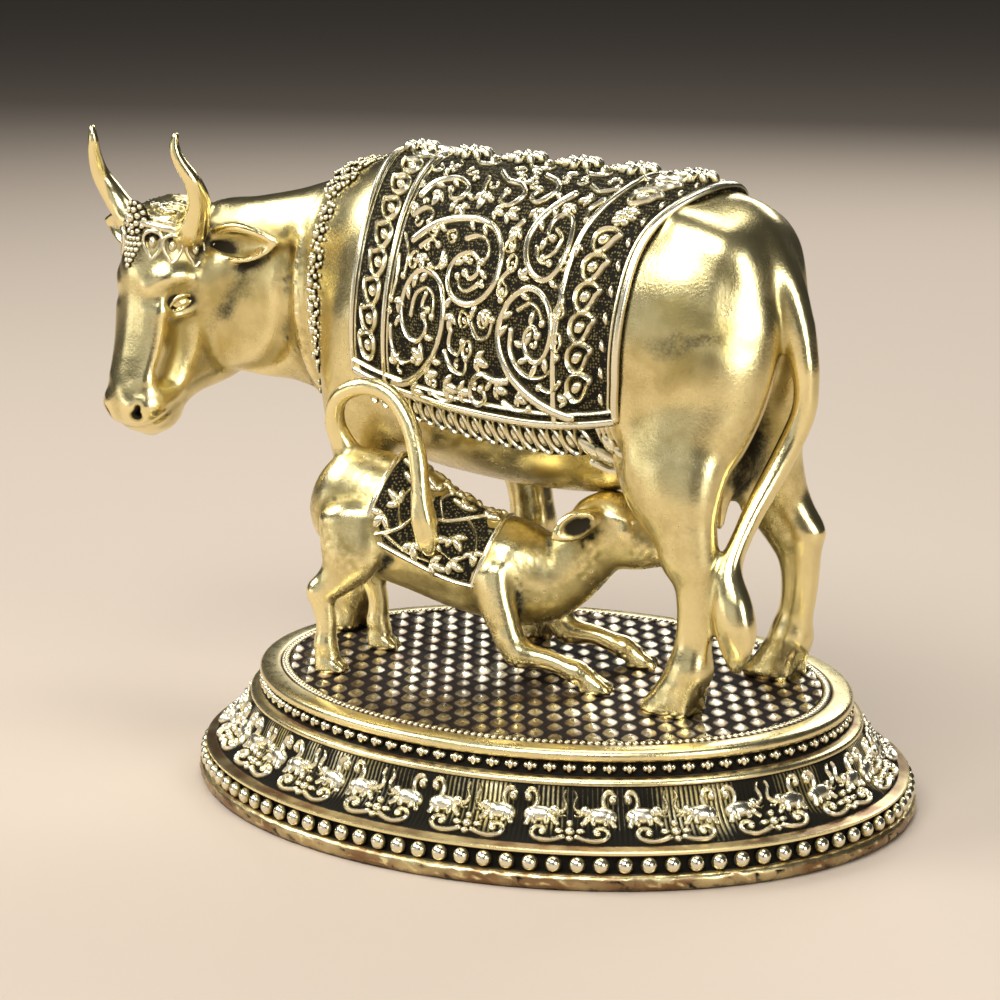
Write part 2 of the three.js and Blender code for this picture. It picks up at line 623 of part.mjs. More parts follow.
const TAIL = [
  [46, 0, 108, 4.4, 4.4], [52, 0, 102.5, 4.6, 4.6], [57.2, 0, 94.6, 4.4, 4.4], [61, 0, 85.5, 3.6, 3.6],
  [63, 0, 76, 3.1, 3.1], [63, -0.2, 68, 3, 3], [60.9, -1.6, 61, 3, 3], [58.6, -5.4, 53, 2.9, 2.9],
  [56.8, -10.4, 45.3, 2.7, 2.7], [56, -15, 38.2, 2.5, 2.5], [56, -18, 32, 2.8, 2.8],
  [57.6, -18.8, 26, 4.5, 3.6],
  [58.6, -18.8, 20, 4.7, 3.8], [58.7, -18.6, 14, 2.7, 2.4], [58.4, -18.5, 10.2, 0.8, 0.8],
];

// The point of the right hock; the left one is covered by the tail.
const HOCK = [[51, 19.3, 36, 3.6, 2.8], [54.6, 19.3, 35, 2, 1.8]];

function legs() {
  const out = [];
  const along = V(1, 0, 0);
  for (const [table, side] of [[HIND_LEFT, -1], [HIND_RIGHT, 1]]) {
    out.push(limb(table, along, { sides: 8, round: 0 }), ...hoof([43, side * 20.4], Math.PI));
  }
  out.push(limb(HOCK, V(0, 0, 1), { sides: 5, round: 0.6 }));
  out.push(limb(FORE_LEFT, along, { sides: 8, round: 0 }));
  out.push(limb(FORE_RIGHT, along, { sides: 8, round: 0 }));
  out.push(...hoof([-66, -8], Math.PI, 0.95), ...hoof([-25, 13], Math.PI, 0.95));
  return out;
}

function udder() {
  const bag = [[30, 0, 54, 8, 10], [38, 0, 51, 9, 11], [44, 0, 54, 8, 10]];
  const out = [limb(bag, V(0, 0, 1), { sides: 8, round: 0.8 })];
  for (const [x, y] of [[33, -5.5], [33, 5.5], [42.5, -5.5], [42.5, 5.5]]) {
    const teat = [[x, y, 46, 2.4, 2.4], [x, y * 1.1, 40, 1.8, 1.8]];
    out.push(limb(teat, V(1, 0, 0), { sides: 5, round: 0.9 }));
  }
  return out;
}

// Garland of small flowers round the root of the neck, from the withers down to the brisket.
function garland() {
  const count = 2 * garlandBeads;
  return Array.from({ length: count }, (_, k) => {
    const a = (2 * Math.PI * (k + 0.5)) / count;
    const at = (lift) => neckSkin(1.35, a, lift);
    return bead(at(0.5), at(3).sub(at(0)).normalize(), 2.7 * UNIT);
  });
}

const TRUNK_ENDS = [[-76.5, 0, 85], [57, 0, 96.5]];

function cow() {
  const turns = Array.from({ length: 18 }, (_, j) => (2 * Math.PI * j) / 18);
  const rings = TRUNK.map(([x]) => turns.map((a) => trunkPoint(x, a)));
  const [chest, rump] = TRUNK_ENDS.map((p) => cowPoint(...p));
  const tail = limb(TAIL, V(1, 0, 0), { sides: 6, round: 0.5 });
  return join([
    skin(rings, chest, rump), cloth(), ...clothRelief(), head(), ...legs(), tail, ...udder(), ...garland(),
  ]);
}

// The calf has its own axes: s along its body, o to its left, z up from the plate.
const CALF_TURN = 22 * RAD;
const CALF_AT = [-13, -18.9];
function calfPoint(s, o, z) {
  return cowPoint(CALF_AT[0] + s * Math.cos(CALF_TURN) - o * Math.sin(CALF_TURN),
    CALF_AT[1] + s * Math.sin(CALF_TURN) + o * Math.cos(CALF_TURN), z);
}
const CALF_BODY = [
  [-35.5, 0, 40, 11, 7.5], [-31, 0, 38, 14.5, 10.5], [-23, 0, 35.2, 14.6, 11.4], [-13, 0, 30.4, 13, 11.8],
  [-3, 0, 26, 12, 11.5], [6, 0, 24.6, 12.4, 10.6], [13, 0, 22.8, 11.4, 8.8], [19, 0, 24.4, 9, 7],
  [25, 0, 29.6, 8, 6.2], [29.5, 0, 34.5, 7.4, 6],
];
const CALF_HEAD = [
  [26.6, 0, 36, 7, 5.6], [31.4, 0, 35.6, 8.7, 6.2], [36.5, 0, 33.6, 7.4, 5.6], [41.4, 0, 32.4, 5.2, 4.7],
  [44.4, 0, 31.6, 3.9, 4.1],
];
const CALF_HIND = [
  [-29, 9, 36, 9, 4.6], [-28.6, 10.6, 28, 8.4, 4.2], [-31.8, 11, 22.6, 5.4, 3.2], [-35, 11.4, 18.6, 3.6, 2.6],
  [-34.6, 11.8, 12, 2.5, 2.2], [-34.8, 12, 6.5, 2.7, 2.5], [-34, 12, 4, 2.7, 2.5],
];
const CALF_FORE = [
  [4, 8.5, 24, 6.4, 4], [7, 10.6, 17.6, 4.6, 3.6], [10, 11.6, 11, 3.4, 3.2], [12.4, 11.9, 7.6, 3.2, 3],
  [19.5, 12, 6.6, 2.4, 2.4], [26, 12, 4.2, 2.5, 2.5], [28.5, 12, 3.2, 2.4, 2.4],
];
const CALF_TAIL = [
  [-33, 0, 50, 2.9, 2.9], [-35.6, -1.5, 56.5, 2.5, 2.5], [-33.8, -4, 63.4, 2.2, 2.2],
  [-27.5, -6, 66.8, 2.2, 2.2],
  [-20.4, -7.5, 65.8, 2.2, 2.2], [-15, -9.4, 60, 2.2, 2.2], [-12, -11.4, 52, 2.2, 2.2],
  [-10.8, -12.8, 43.6, 2.2, 2.2], [-10, -13.4, 37.6, 3, 2.4], [-9.2, -13, 32.4, 2.5, 2],
  [-8.8, -12.6, 29.6, 0.9, 0.8],
];
const CALF_EAR = [
  [29.5, 5, 40, 1.2, 1.6], [26.5, 8, 39, 2.4, 1.4], [22, 10.5, 36.6, 2.2, 1.2], [19.6, 11.6, 35, 0.7, 0.6],
];

const calfHeading = V(Math.cos(CALF_TURN), Math.sin(CALF_TURN), 0);

function calf() {
  const parts = [
    limb(CALF_BODY, V(0, 0, 1), { sides: 12, place: calfPoint, round: 0.7 }),
    limb(CALF_HEAD, V(0, 0, 1), { sides: 8, place: calfPoint, round: 0.7 }),
    limb(CALF_TAIL, calfHeading, { sides: 5, place: calfPoint, round: 0.6 }),
  ];
  const foot = (s, o) => {
    const rows = [[s - 1.6, o, 4, 2.6, 2.5], [s, o, 1.6, 3.6, 2.9], [s, o, 0, 3.9, 3]];
    return limb(rows, calfHeading, { sides: 6, place: calfPoint, round: 0 });
  };
  for (const side of [-1, 1]) {
    // the legs on the side of the cow stand a little farther forward
    const near = side > 0;
    const hind = (s, o, z) => calfPoint(s + (near ? 4.6 : 0), side * o, z);
    const fore = (s, o, z) => calfPoint(s + (near ? 4.5 : 0), side * (o + (near ? 1 : 0)), z);
    const ear = (s, o, z) => calfPoint(s, side * o, z);
    parts.push(limb(CALF_HIND, calfHeading, { sides: 6, place: hind, round: 0 }));
    parts.push(limb(CALF_FORE, V(0, 0, 1), { sides: 6, place: fore, round: 0 }));
    parts.push(limb(CALF_EAR, V(0, 0, 1), { sides: 4, place: ear, round: 0 }));
    parts.push(foot(near ? -28.8 : -33.4, side * 12), foot(near ? 35.2 : 30.8, side * (near ? 13 : 12)));
  }
  parts.push(...calfCloth());
  return join(parts);
}

// The saddle cloth follows the calf's body section between two stations of its table.
function calfClothPoint(t, a, lift) {
  const [s, , z, h, w] = onTable(CALF_BODY, t);
  const l = lift / UNIT;
  const lean = 0.42;
  const dz = (h + l) * Math.cos(a * RAD);
  return calfPoint(s + dz * lean * 0.8, (w + l) * Math.sin(a * RAD), z + dz * 0.93);
}

function calfCloth() {
  const out = [];
  const from = 1.75;
  const to = 4.6;
  const low = 104;
  const rib = (count, at, radius) => {
    const path = Array.from({ length: count + 1 }, (_, i) => at(i / count));
    out.push(rod(path, radius * UNIT, 3));
  };
  for (const t of [from, to]) rib(8, (s) => calfClothPoint(t, low * (2 * s - 1), 0.2), 0.9);
  for (const side of [-1, 1]) {
    rib(4, (s) => calfClothPoint(from + (to - from) * s, side * low, 0.2), 0.75);
  }
  return out;
}

function mesh(name, body, colour, roughness, metalness) {
  const raw = body.asOriginal().simplify(SLIVER).getMesh();
  const geometry = new THREE.BufferGeometry();
  const count = raw.numProp;
  const points = new Float32Array((raw.vertProperties.length / count) * 3);
  for (let i = 0; i < points.length / 3; i += 1) {
    for (let k = 0; k < 3; k += 1) points[3 * i + k] = raw.vertProperties[i * count + k];
  }
  geometry.setAttribute('position', new THREE.BufferAttribute(points, 3));
  geometry.setIndex(new THREE.BufferAttribute(new Uint32Array(raw.triVerts), 1));
  geometry.computeVertexNormals();
  const material = new THREE.MeshStandardMaterial({ color: colour, roughness, metalness });
  const part = new THREE.Mesh(geometry, material);
  part.name = name;
  return part;
}

const group = new THREE.Group();
group.name = 'kamdhenu';
group.add(mesh('plinth', plinth(), 0x8a7440, 0.42, 1));
group.add(mesh('cow', cow(), 0xc6ab5c, 0.3, 1));
group.add(mesh('calf', calf(), 0xb29a54, 0.34, 1));

export default group;
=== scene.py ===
import json
import math

import bpy
import numpy as np
from bpy.props import FloatProperty, FloatVectorProperty, IntProperty, PointerProperty
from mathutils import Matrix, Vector

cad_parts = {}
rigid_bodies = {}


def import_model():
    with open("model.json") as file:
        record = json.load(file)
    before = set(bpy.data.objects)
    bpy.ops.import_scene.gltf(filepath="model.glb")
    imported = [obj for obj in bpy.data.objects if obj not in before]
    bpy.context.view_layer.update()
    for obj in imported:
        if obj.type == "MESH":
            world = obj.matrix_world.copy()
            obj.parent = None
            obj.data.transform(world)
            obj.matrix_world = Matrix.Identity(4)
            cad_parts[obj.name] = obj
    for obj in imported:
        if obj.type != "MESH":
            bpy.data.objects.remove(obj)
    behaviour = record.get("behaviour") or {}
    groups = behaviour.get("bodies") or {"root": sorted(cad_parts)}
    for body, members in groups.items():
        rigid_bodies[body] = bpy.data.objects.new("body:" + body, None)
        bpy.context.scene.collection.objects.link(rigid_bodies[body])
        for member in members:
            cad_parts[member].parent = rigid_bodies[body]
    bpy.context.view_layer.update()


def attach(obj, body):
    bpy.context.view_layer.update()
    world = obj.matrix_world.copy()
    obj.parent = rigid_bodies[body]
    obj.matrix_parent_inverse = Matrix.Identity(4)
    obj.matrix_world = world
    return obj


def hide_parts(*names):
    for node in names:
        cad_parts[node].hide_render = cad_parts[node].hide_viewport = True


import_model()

# A brass figure of a standing cow with her suckling calf on an oval plinth. All tables are in
# millimetres in the part's frame: X along the plinth, the cow looks towards -X, +Z is up.

bl_info = {
    "name": "Brass cow and calf",
    "version": (1, 0, 0),
    "blender": (4, 5, 0),
    "location": "3D View > Sidebar > Brass",
    "description": "Builds a cast brass cow with her calf on an oval plinth",
    "category": "Add Mesh",
}

DECK = 26.7         # the level on which the animals stand
COW_Y = 9.5         # the middle of the cow, beside the middle of the plinth
PLATE_A = 73.9      # half the length of the plate's edge
PLATE_B = 60.15     # half its width
WEAVE_INSET = 6.9   # from the plate's edge to its weave
FRIEZE_OUT = 7.0    # the oval on which the frieze is measured out
FRIEZE_HIGH = 13.6
FRIEZE_RIBS = 20    # ribs of the ground behind one repeat of the frieze
NECK_SEAM = -65.4   # where the body ends and the head begins
HIP_REFLECTION_OUT = 18.0      # the painted dark reflection on the hips, partly a faint grey film, from the spine
FAR = 6.0           # what clay holds far from any surface
GROUND_RISE = 0.1   # how far a point stands out that has no mark of its own

# x, height of the middle, half height, half width of the trunk.
TRUNK = [
    [-77.6, 85, 3, 2.4], [-75, 85, 13, 9], [-71, 85, 20, 13], [-64, 84, 28, 18],
    [-54, 81.8, 34.6, 22.5], [-42, 80.2, 36.6, 25.6], [-27, 79.2, 37, 28], [-8, 78.8, 37.2, 29.5],
    [12, 79.2, 36.3, 28.8], [30, 81.5, 33.5, 27], [42, 86, 28, 23], [50, 91, 20.5, 17],
    [54.5, 94.5, 13, 11], [57.6, 96.6, 3, 2.6],
]
# Level sections of the head: how far down, forward, half deep, half wide.
HEAD = [
    [-4.8, -4, 2, 1.8], [-3.6, -4, 6.6, 6], [-0.6, -4.8, 12, 9.8], [4, -7.4, 16.2, 11.2],
    [12, -10.3, 21.3, 12.2], [19, -10.2, 21.4, 12.5], [26, -9.4, 21.4, 11.8], [34, -6.4, 19.9, 10.4],
    [38, -3, 17.5, 9.6], [42, 3, 12.6, 9.1], [46, 6.1, 9.6, 9.1], [50, 6, 8.1, 7.5], [52.8, 5.6, 5, 5],
    [54.4, 5.3, 1.6, 1.8],
]
# x, y and z of the middle, half deep, half wide.
NECK = [
    [-50, 0, 82, 32, 20], [-62, 0, 82.2, 30.4, 17.8], [-72, -2, 83, 27.2, 14.6],
    [-82, -4.6, 83.2, 24, 12.2], [-93, -8, 82.6, 22.4, 11.2], [-104, -11, 83, 20.2, 10.6],
    [-107.6, -12, 83, 12, 7],
]
HORN = [
    [-1.4, 6.6, -5.4, 3.5, 3.5], [0.4, 12.8, -1.2, 3.4, 3.4], [2.2, 17, 4.4, 2.9, 2.9],
    [4.9, 18.4, 9.6, 2.25, 2.25], [7.6, 16.9, 14.6, 1.7, 1.7], [8.6, 16, 18.2, 1.35, 1.35],
    [8.5, 16.4, 21.4, 0.95, 0.95],
]
EAR = [
    [-6.5, 9, -6.5, 2.4, 2], [-7, 14, -5.9, 2.8, 2], [-7.6, 20, -5.6, 3.9, 1.9],
    [-8, 25.5, -5.4, 3.7, 1.7], [-8.3, 30, -4.8, 2, 1.3], [-8.3, 33.4, -4.2, 0.7, 0.6],
]
EAR_HOLLOW = [
    [-5.2, 13, -6.6, 0.8, 0.8], [-5.6, 19.5, -6.3, 2.6, 1.3], [-6.1, 25, -6, 2.4, 1.2],
    [-7, 30.5, -5, 0.6, 0.6],
]
HIND_LEFT = [
    [34, -8, 92, 15, 11], [38, -10, 80, 18.2, 13.4], [38.4, -11.5, 69, 17.5, 12],
    [38.4, -14.5, 60, 15.5, 10.2], [40.4, -17.3, 53, 13.4, 8.6], [42.6, -19, 47, 10.7, 7],
    [45.2, -19.5, 40, 7.3, 5.4], [47.4, -19.6, 34, 5.4, 4.5], [48, -19.6, 28, 4.6, 4],
    [48, -19.6, 21, 4.2, 3.8], [47.4, -19.7, 14, 4.3, 4], [46.6, -19.9, 8.6, 5.2, 4.8],
    [45.4, -20, 6, 5.4, 5.2],
]
HIND_RIGHT = [
    [33, 8, 92, 15, 11], [36.5, 9, 80, 17.6, 13], [37, 10.5, 69, 17, 11.6], [37.4, 12.5, 60, 15, 9.8],
    [39.6, 14.5, 53, 13, 8.2], [42, 16.5, 47, 10.6, 6.8], [44.6, 18.4, 41, 8, 5.4],
    [48.8, 19.2, 34, 6.6, 4.5], [49.8, 19.4, 28, 5.2, 4.1], [49.6, 19.6, 21, 4.4, 3.8],
    [48, 20, 14, 4.1, 3.9], [47, 20.2, 8.6, 5, 4.7], [45.6, 20.4, 6, 5.4, 5.1],
]
FORE_LEFT = [
    [-48, -14, 78, 15, 10], [-52, -14.5, 64, 13, 9.5], [-55, -13.5, 52, 9.5, 7.4],
    [-56.5, -12, 42, 7, 5.8], [-57.5, -10.5, 34, 5.6, 5], [-59.5, -9.5, 28, 5.2, 4.8],
    [-61, -8.8, 19, 4.2, 3.8], [-62, -8.2, 12, 4.6, 4.4], [-63.5, -8, 7, 5, 4.8],
]
FORE_RIGHT = [
    [-44, 14, 78, 15, 10], [-40, 15, 64, 13, 9.5], [-34, 15, 53, 9.5, 7.4], [-28.5, 14.5, 44, 6.6, 5.6],
    [-25, 14, 36, 5.4, 4.8], [-23.5, 13.6, 28, 5.2, 4.6], [-22.3, 13.2, 19, 4.1, 3.7],
    [-21.4, 13, 12, 4.6, 4.2], [-22.4, 13, 7, 5, 4.8],
]
TAIL = [
    [46, 0, 108, 4.4, 4.4], [52, 0, 102.5, 4.6, 4.6], [57.2, 0, 94.6, 4.4, 4.4],
    [61, 0, 85.5, 3.6, 3.6], [63, 0, 76, 3.1, 3.1], [63, -0.2, 68, 3, 3], [60.9, -1.6, 61, 3, 3],
    [58.6, -5.4, 53, 2.9, 2.9], [56.8, -10.4, 45.3, 2.7, 2.7], [56, -15, 38.2, 2.5, 2.5],
    [56, -18, 32, 2.8, 2.8], [57.6, -18.8, 26, 4.5, 3.6], [58.6, -18.8, 20, 4.7, 3.8],
    [58.7, -18.6, 14, 2.7, 2.4], [58.4, -18.5, 10.2, 0.8, 0.8],
]
# The calf: along its body, to its left, up, half deep, half wide.
CALF_TURN = math.radians(22)
CALF_HEADING = np.array([math.cos(CALF_TURN), math.sin(CALF_TURN), 0.0])
CALF_AT = (-13, -18.9)
CALF_SADDLE = (0.336, 0.93)     # how far its back leans along the body, and up
CALF_BODY = [
    [-35.5, 0, 40, 11, 7.5], [-31, 0, 38, 14.5, 10.5], [-23, 0, 35.2, 14.6, 11.4],
    [-13, 0, 30.4, 13, 11.8], [-3, 0, 26, 12, 11.5], [6, 0, 24.6, 12.4, 10.6], [13, 0, 22.8, 11.4, 8.8],
    [19, 0, 24.4, 9, 7], [25, 0, 29.6, 8, 6.2], [29.5, 0, 34.5, 7.4, 6],
]
CALF_HEAD = [
    [26.6, 0, 36, 7, 5.6], [31.4, 0, 35.6, 8.7, 6.2], [36.5, 0, 33.6, 7.4, 5.6],
    [41.4, 0, 32.4, 5.2, 4.7], [44.4, 0, 31.6, 3.9, 4.1],
]
CALF_HIND = [
    [-29, 9, 36, 9, 4.6], [-28.6, 10.6, 28, 8.4, 4.2], [-31.8, 11, 22.6, 5.4, 3.2],
    [-35, 11.4, 18.6, 3.6, 2.6], [-34.6, 11.8, 12, 2.5, 2.2], [-34.8, 12, 6.5, 2.7, 2.5],
    [-34, 12, 4, 2.7, 2.5],
]
CALF_FORE = [
    [4, 8.5, 24, 6.4, 4], [7, 10.6, 17.6, 4.6, 3.6], [10, 11.6, 11, 3.4, 3.2],
    [12.4, 11.9, 7.6, 3.2, 3], [19.5, 12, 6.6, 2.4, 2.4], [26, 12, 4.2, 2.5, 2.5],
    [28.5, 12, 3.2, 2.4, 2.4],
]
CALF_TAIL = [
    [-33, 0, 50, 2.9, 2.9], [-35.6, -1.5, 56.5, 2.5, 2.5], [-33.8, -4, 63.4, 2.2, 2.2],
    [-27.5, -6, 66.8, 2.2, 2.2], [-20.4, -7.5, 65.8, 2.2, 2.2], [-15, -9.4, 60, 2.2, 2.2],
    [-12, -11.4, 52, 2.2, 2.2], [-10.8, -12.8, 43.6, 2.2, 2.2], [-10, -13.4, 37.6, 3, 2.4],
    [-9.2, -13, 32.4, 2.5, 2], [-8.8, -12.6, 29.6, 0.9, 0.8],
]


# Smooth curves through the rows of a table.

def along(rows, t):
    """Rows at t, which counts the rows from 0, on a smooth curve through them."""
    rows = np.asarray(rows, float)
    n = len(rows)
    t = np.asarray(t, float)
    i = np.clip(np.floor(t).astype(int), 0, n - 2)
    s = (t - i)[..., None]
    p, q = rows[np.clip(i - 1, 0, n - 1)], rows[i]
    r, w = rows[i + 1], rows[np.clip(i + 2, 0, n - 1)]
    m0, m1, d = (r - p) / 2, (w - q) / 2, r - q
    return q + s * (m0 + s * (3 * d - 2 * m0 - m1 + s * (m0 + m1 - 2 * d)))


def at_first(rows, x):
    """Rows at x, where the first column of the table rises."""
    rows = np.asarray(rows, float)
    x = np.asarray(x, float)
    first = rows[:, 0]
    i = np.clip(np.searchsorted(first, x, side="left") - 1, 0, len(rows) - 2)
    t = i + (x - first[i]) / (first[i + 1] - first[i])
    return along(rows, np.clip(t, 0, len(rows) - 1))


def curve(points, closed=False, gap=0.5):
    """A dense smooth line through flat points."""
    points = np.asarray(points, float)
    if closed:
        points = np.concatenate([points[-1:], points, points[:2]])
        first, last = 1.0, len(points) - 2.0
    else:
        first, last = 0.0, len(points) - 1.0
    length = np.linalg.norm(np.diff(points, axis=0), axis=1).sum()
    count = max(4, int(length / gap))
    return along(points, np.linspace(first, last, count + 1))


def unit(v):
    v = np.asarray(v, float)
    return v / np.linalg.norm(v, axis=-1, keepdims=True)


def turned(degrees):
    """The flat direction at an angle in degrees."""
    a = math.radians(degrees)
    return math.cos(a), math.sin(a)


def cow_point(x, y, z):
    """A place on the figure: along it, to the right of the cow's middle, and up from the deck."""
    return np.stack(np.broadcast_arrays(x, np.add(y, COW_Y), np.add(z, DECK)), -1).astype(float)


HEAD_TURN = math.radians(6)
HEAD_AT = (-112, -23, 100)
HEAD_FORWARD = np.array([-math.sin(HEAD_TURN), -math.cos(HEAD_TURN), 0.0])
HEAD_LEFT = np.array([math.cos(HEAD_TURN), -math.sin(HEAD_TURN), 0.0])
HEAD_AXES = np.stack([HEAD_FORWARD, HEAD_LEFT, (0, 0, 1.0)]).T
HEAD_ORIGIN = cow_point(*HEAD_AT)


def head_point(f, l, u):
    """A place on the head: forward from the poll, to the left, and up."""
    f, l, u = (np.asarray(v, float)[..., None] for v in (f, l, u))
    return HEAD_ORIGIN + f * HEAD_FORWARD + l * HEAD_LEFT + u * np.array([0, 0, 1.0])


def head_skin(angle, u, lift=0.0):
    """A place on the head: degrees from the middle of the face, height, and lift off the skin."""
    _, f, deep, wide = np.moveaxis(at_first(HEAD, -np.asarray(u, float)), -1, 0)
    a = np.radians(angle)
    return head_point(f + (deep + lift) * np.cos(a), (wide + lift) * np.sin(a), u)


def neck_skin(t, angle, lift=0.0):
    """A place on the neck: t counts its rows, degrees from the crest."""
    x, y, z, deep, wide = np.moveaxis(along(NECK, t), -1, 0)
    a = np.radians(angle)
    return cow_point(x, y + (wide + lift) * np.sin(a), z + (deep + lift) * np.cos(a))


def calf_point(s, o, z):
    """A place on the calf: along its body, to its left, and up from the deck."""
    c, n, _ = CALF_HEADING
    s, o = np.asarray(s, float), np.asarray(o, float)
    return cow_point(CALF_AT[0] + s * c - o * n, CALF_AT[1] + s * n + o * c, z)


CLOTH_FRONT = [[0, -53], [52, -47.5], [80, -47], [116, -48.5], [122, -49]]
CLOTH_REAR = [[0, 41.5], [18, 40], [47, 34.5], [75, 33], [103, 31.6], [119, 30]]
CLOTH_LENGTH = 88.0
ARC = 0.57          # millimetres of cloth to a degree round the trunk


def cloth_point(u, angle, lift):
    """A place on the cloth: u from its front to its rear edge, degrees from the spine, + is right."""
    front = at_first(CLOTH_FRONT, np.abs(angle))[..., 1]
    rear = at_first(CLOTH_REAR, np.abs(angle))[..., 1]
    x = front + u * (rear - front)
    _, z, high, wide = np.moveaxis(at_first(TRUNK, x), -1, 0)
    a = np.radians(angle)
    return cow_point(x, (wide + lift) * np.sin(a), z + (high + lift) * np.cos(a))


def calf_cloth_point(t, angle, lift):
    """A place on the calf's saddle cloth: t counts the rows of its body, degrees from the spine."""
    s, _, z, high, wide = np.moveaxis(along(CALF_BODY, t), -1, 0)
    a = np.radians(angle)
    dz = (high + lift) * np.cos(a)
    return calf_point(s + dz * CALF_SADDLE[0], (wide + lift) * np.sin(a), z + dz * CALF_SADDLE[1])


# Clay: a lump worked on a grid of points, each of which holds its distance to the surface.

def along_way(r, way):
    """How far a grid of offsets reaches along a direction."""
    return r[0] * way[0] + r[1] * way[1] + r[2] * way[2]


def beside(axis):
    """The shape that lays a row of values along one axis of a grid."""
    return tuple(-1 if k == axis else 1 for k in range(3))


def merge(a, b, blend):
    """The nearer of two distances, rounded off where they meet."""
    if blend <= 0:
        return np.minimum(a, b)
    h = np.maximum(blend - np.abs(a - b), 0) / blend
    return np.minimum(a, b) - h * h * (blend / 4)


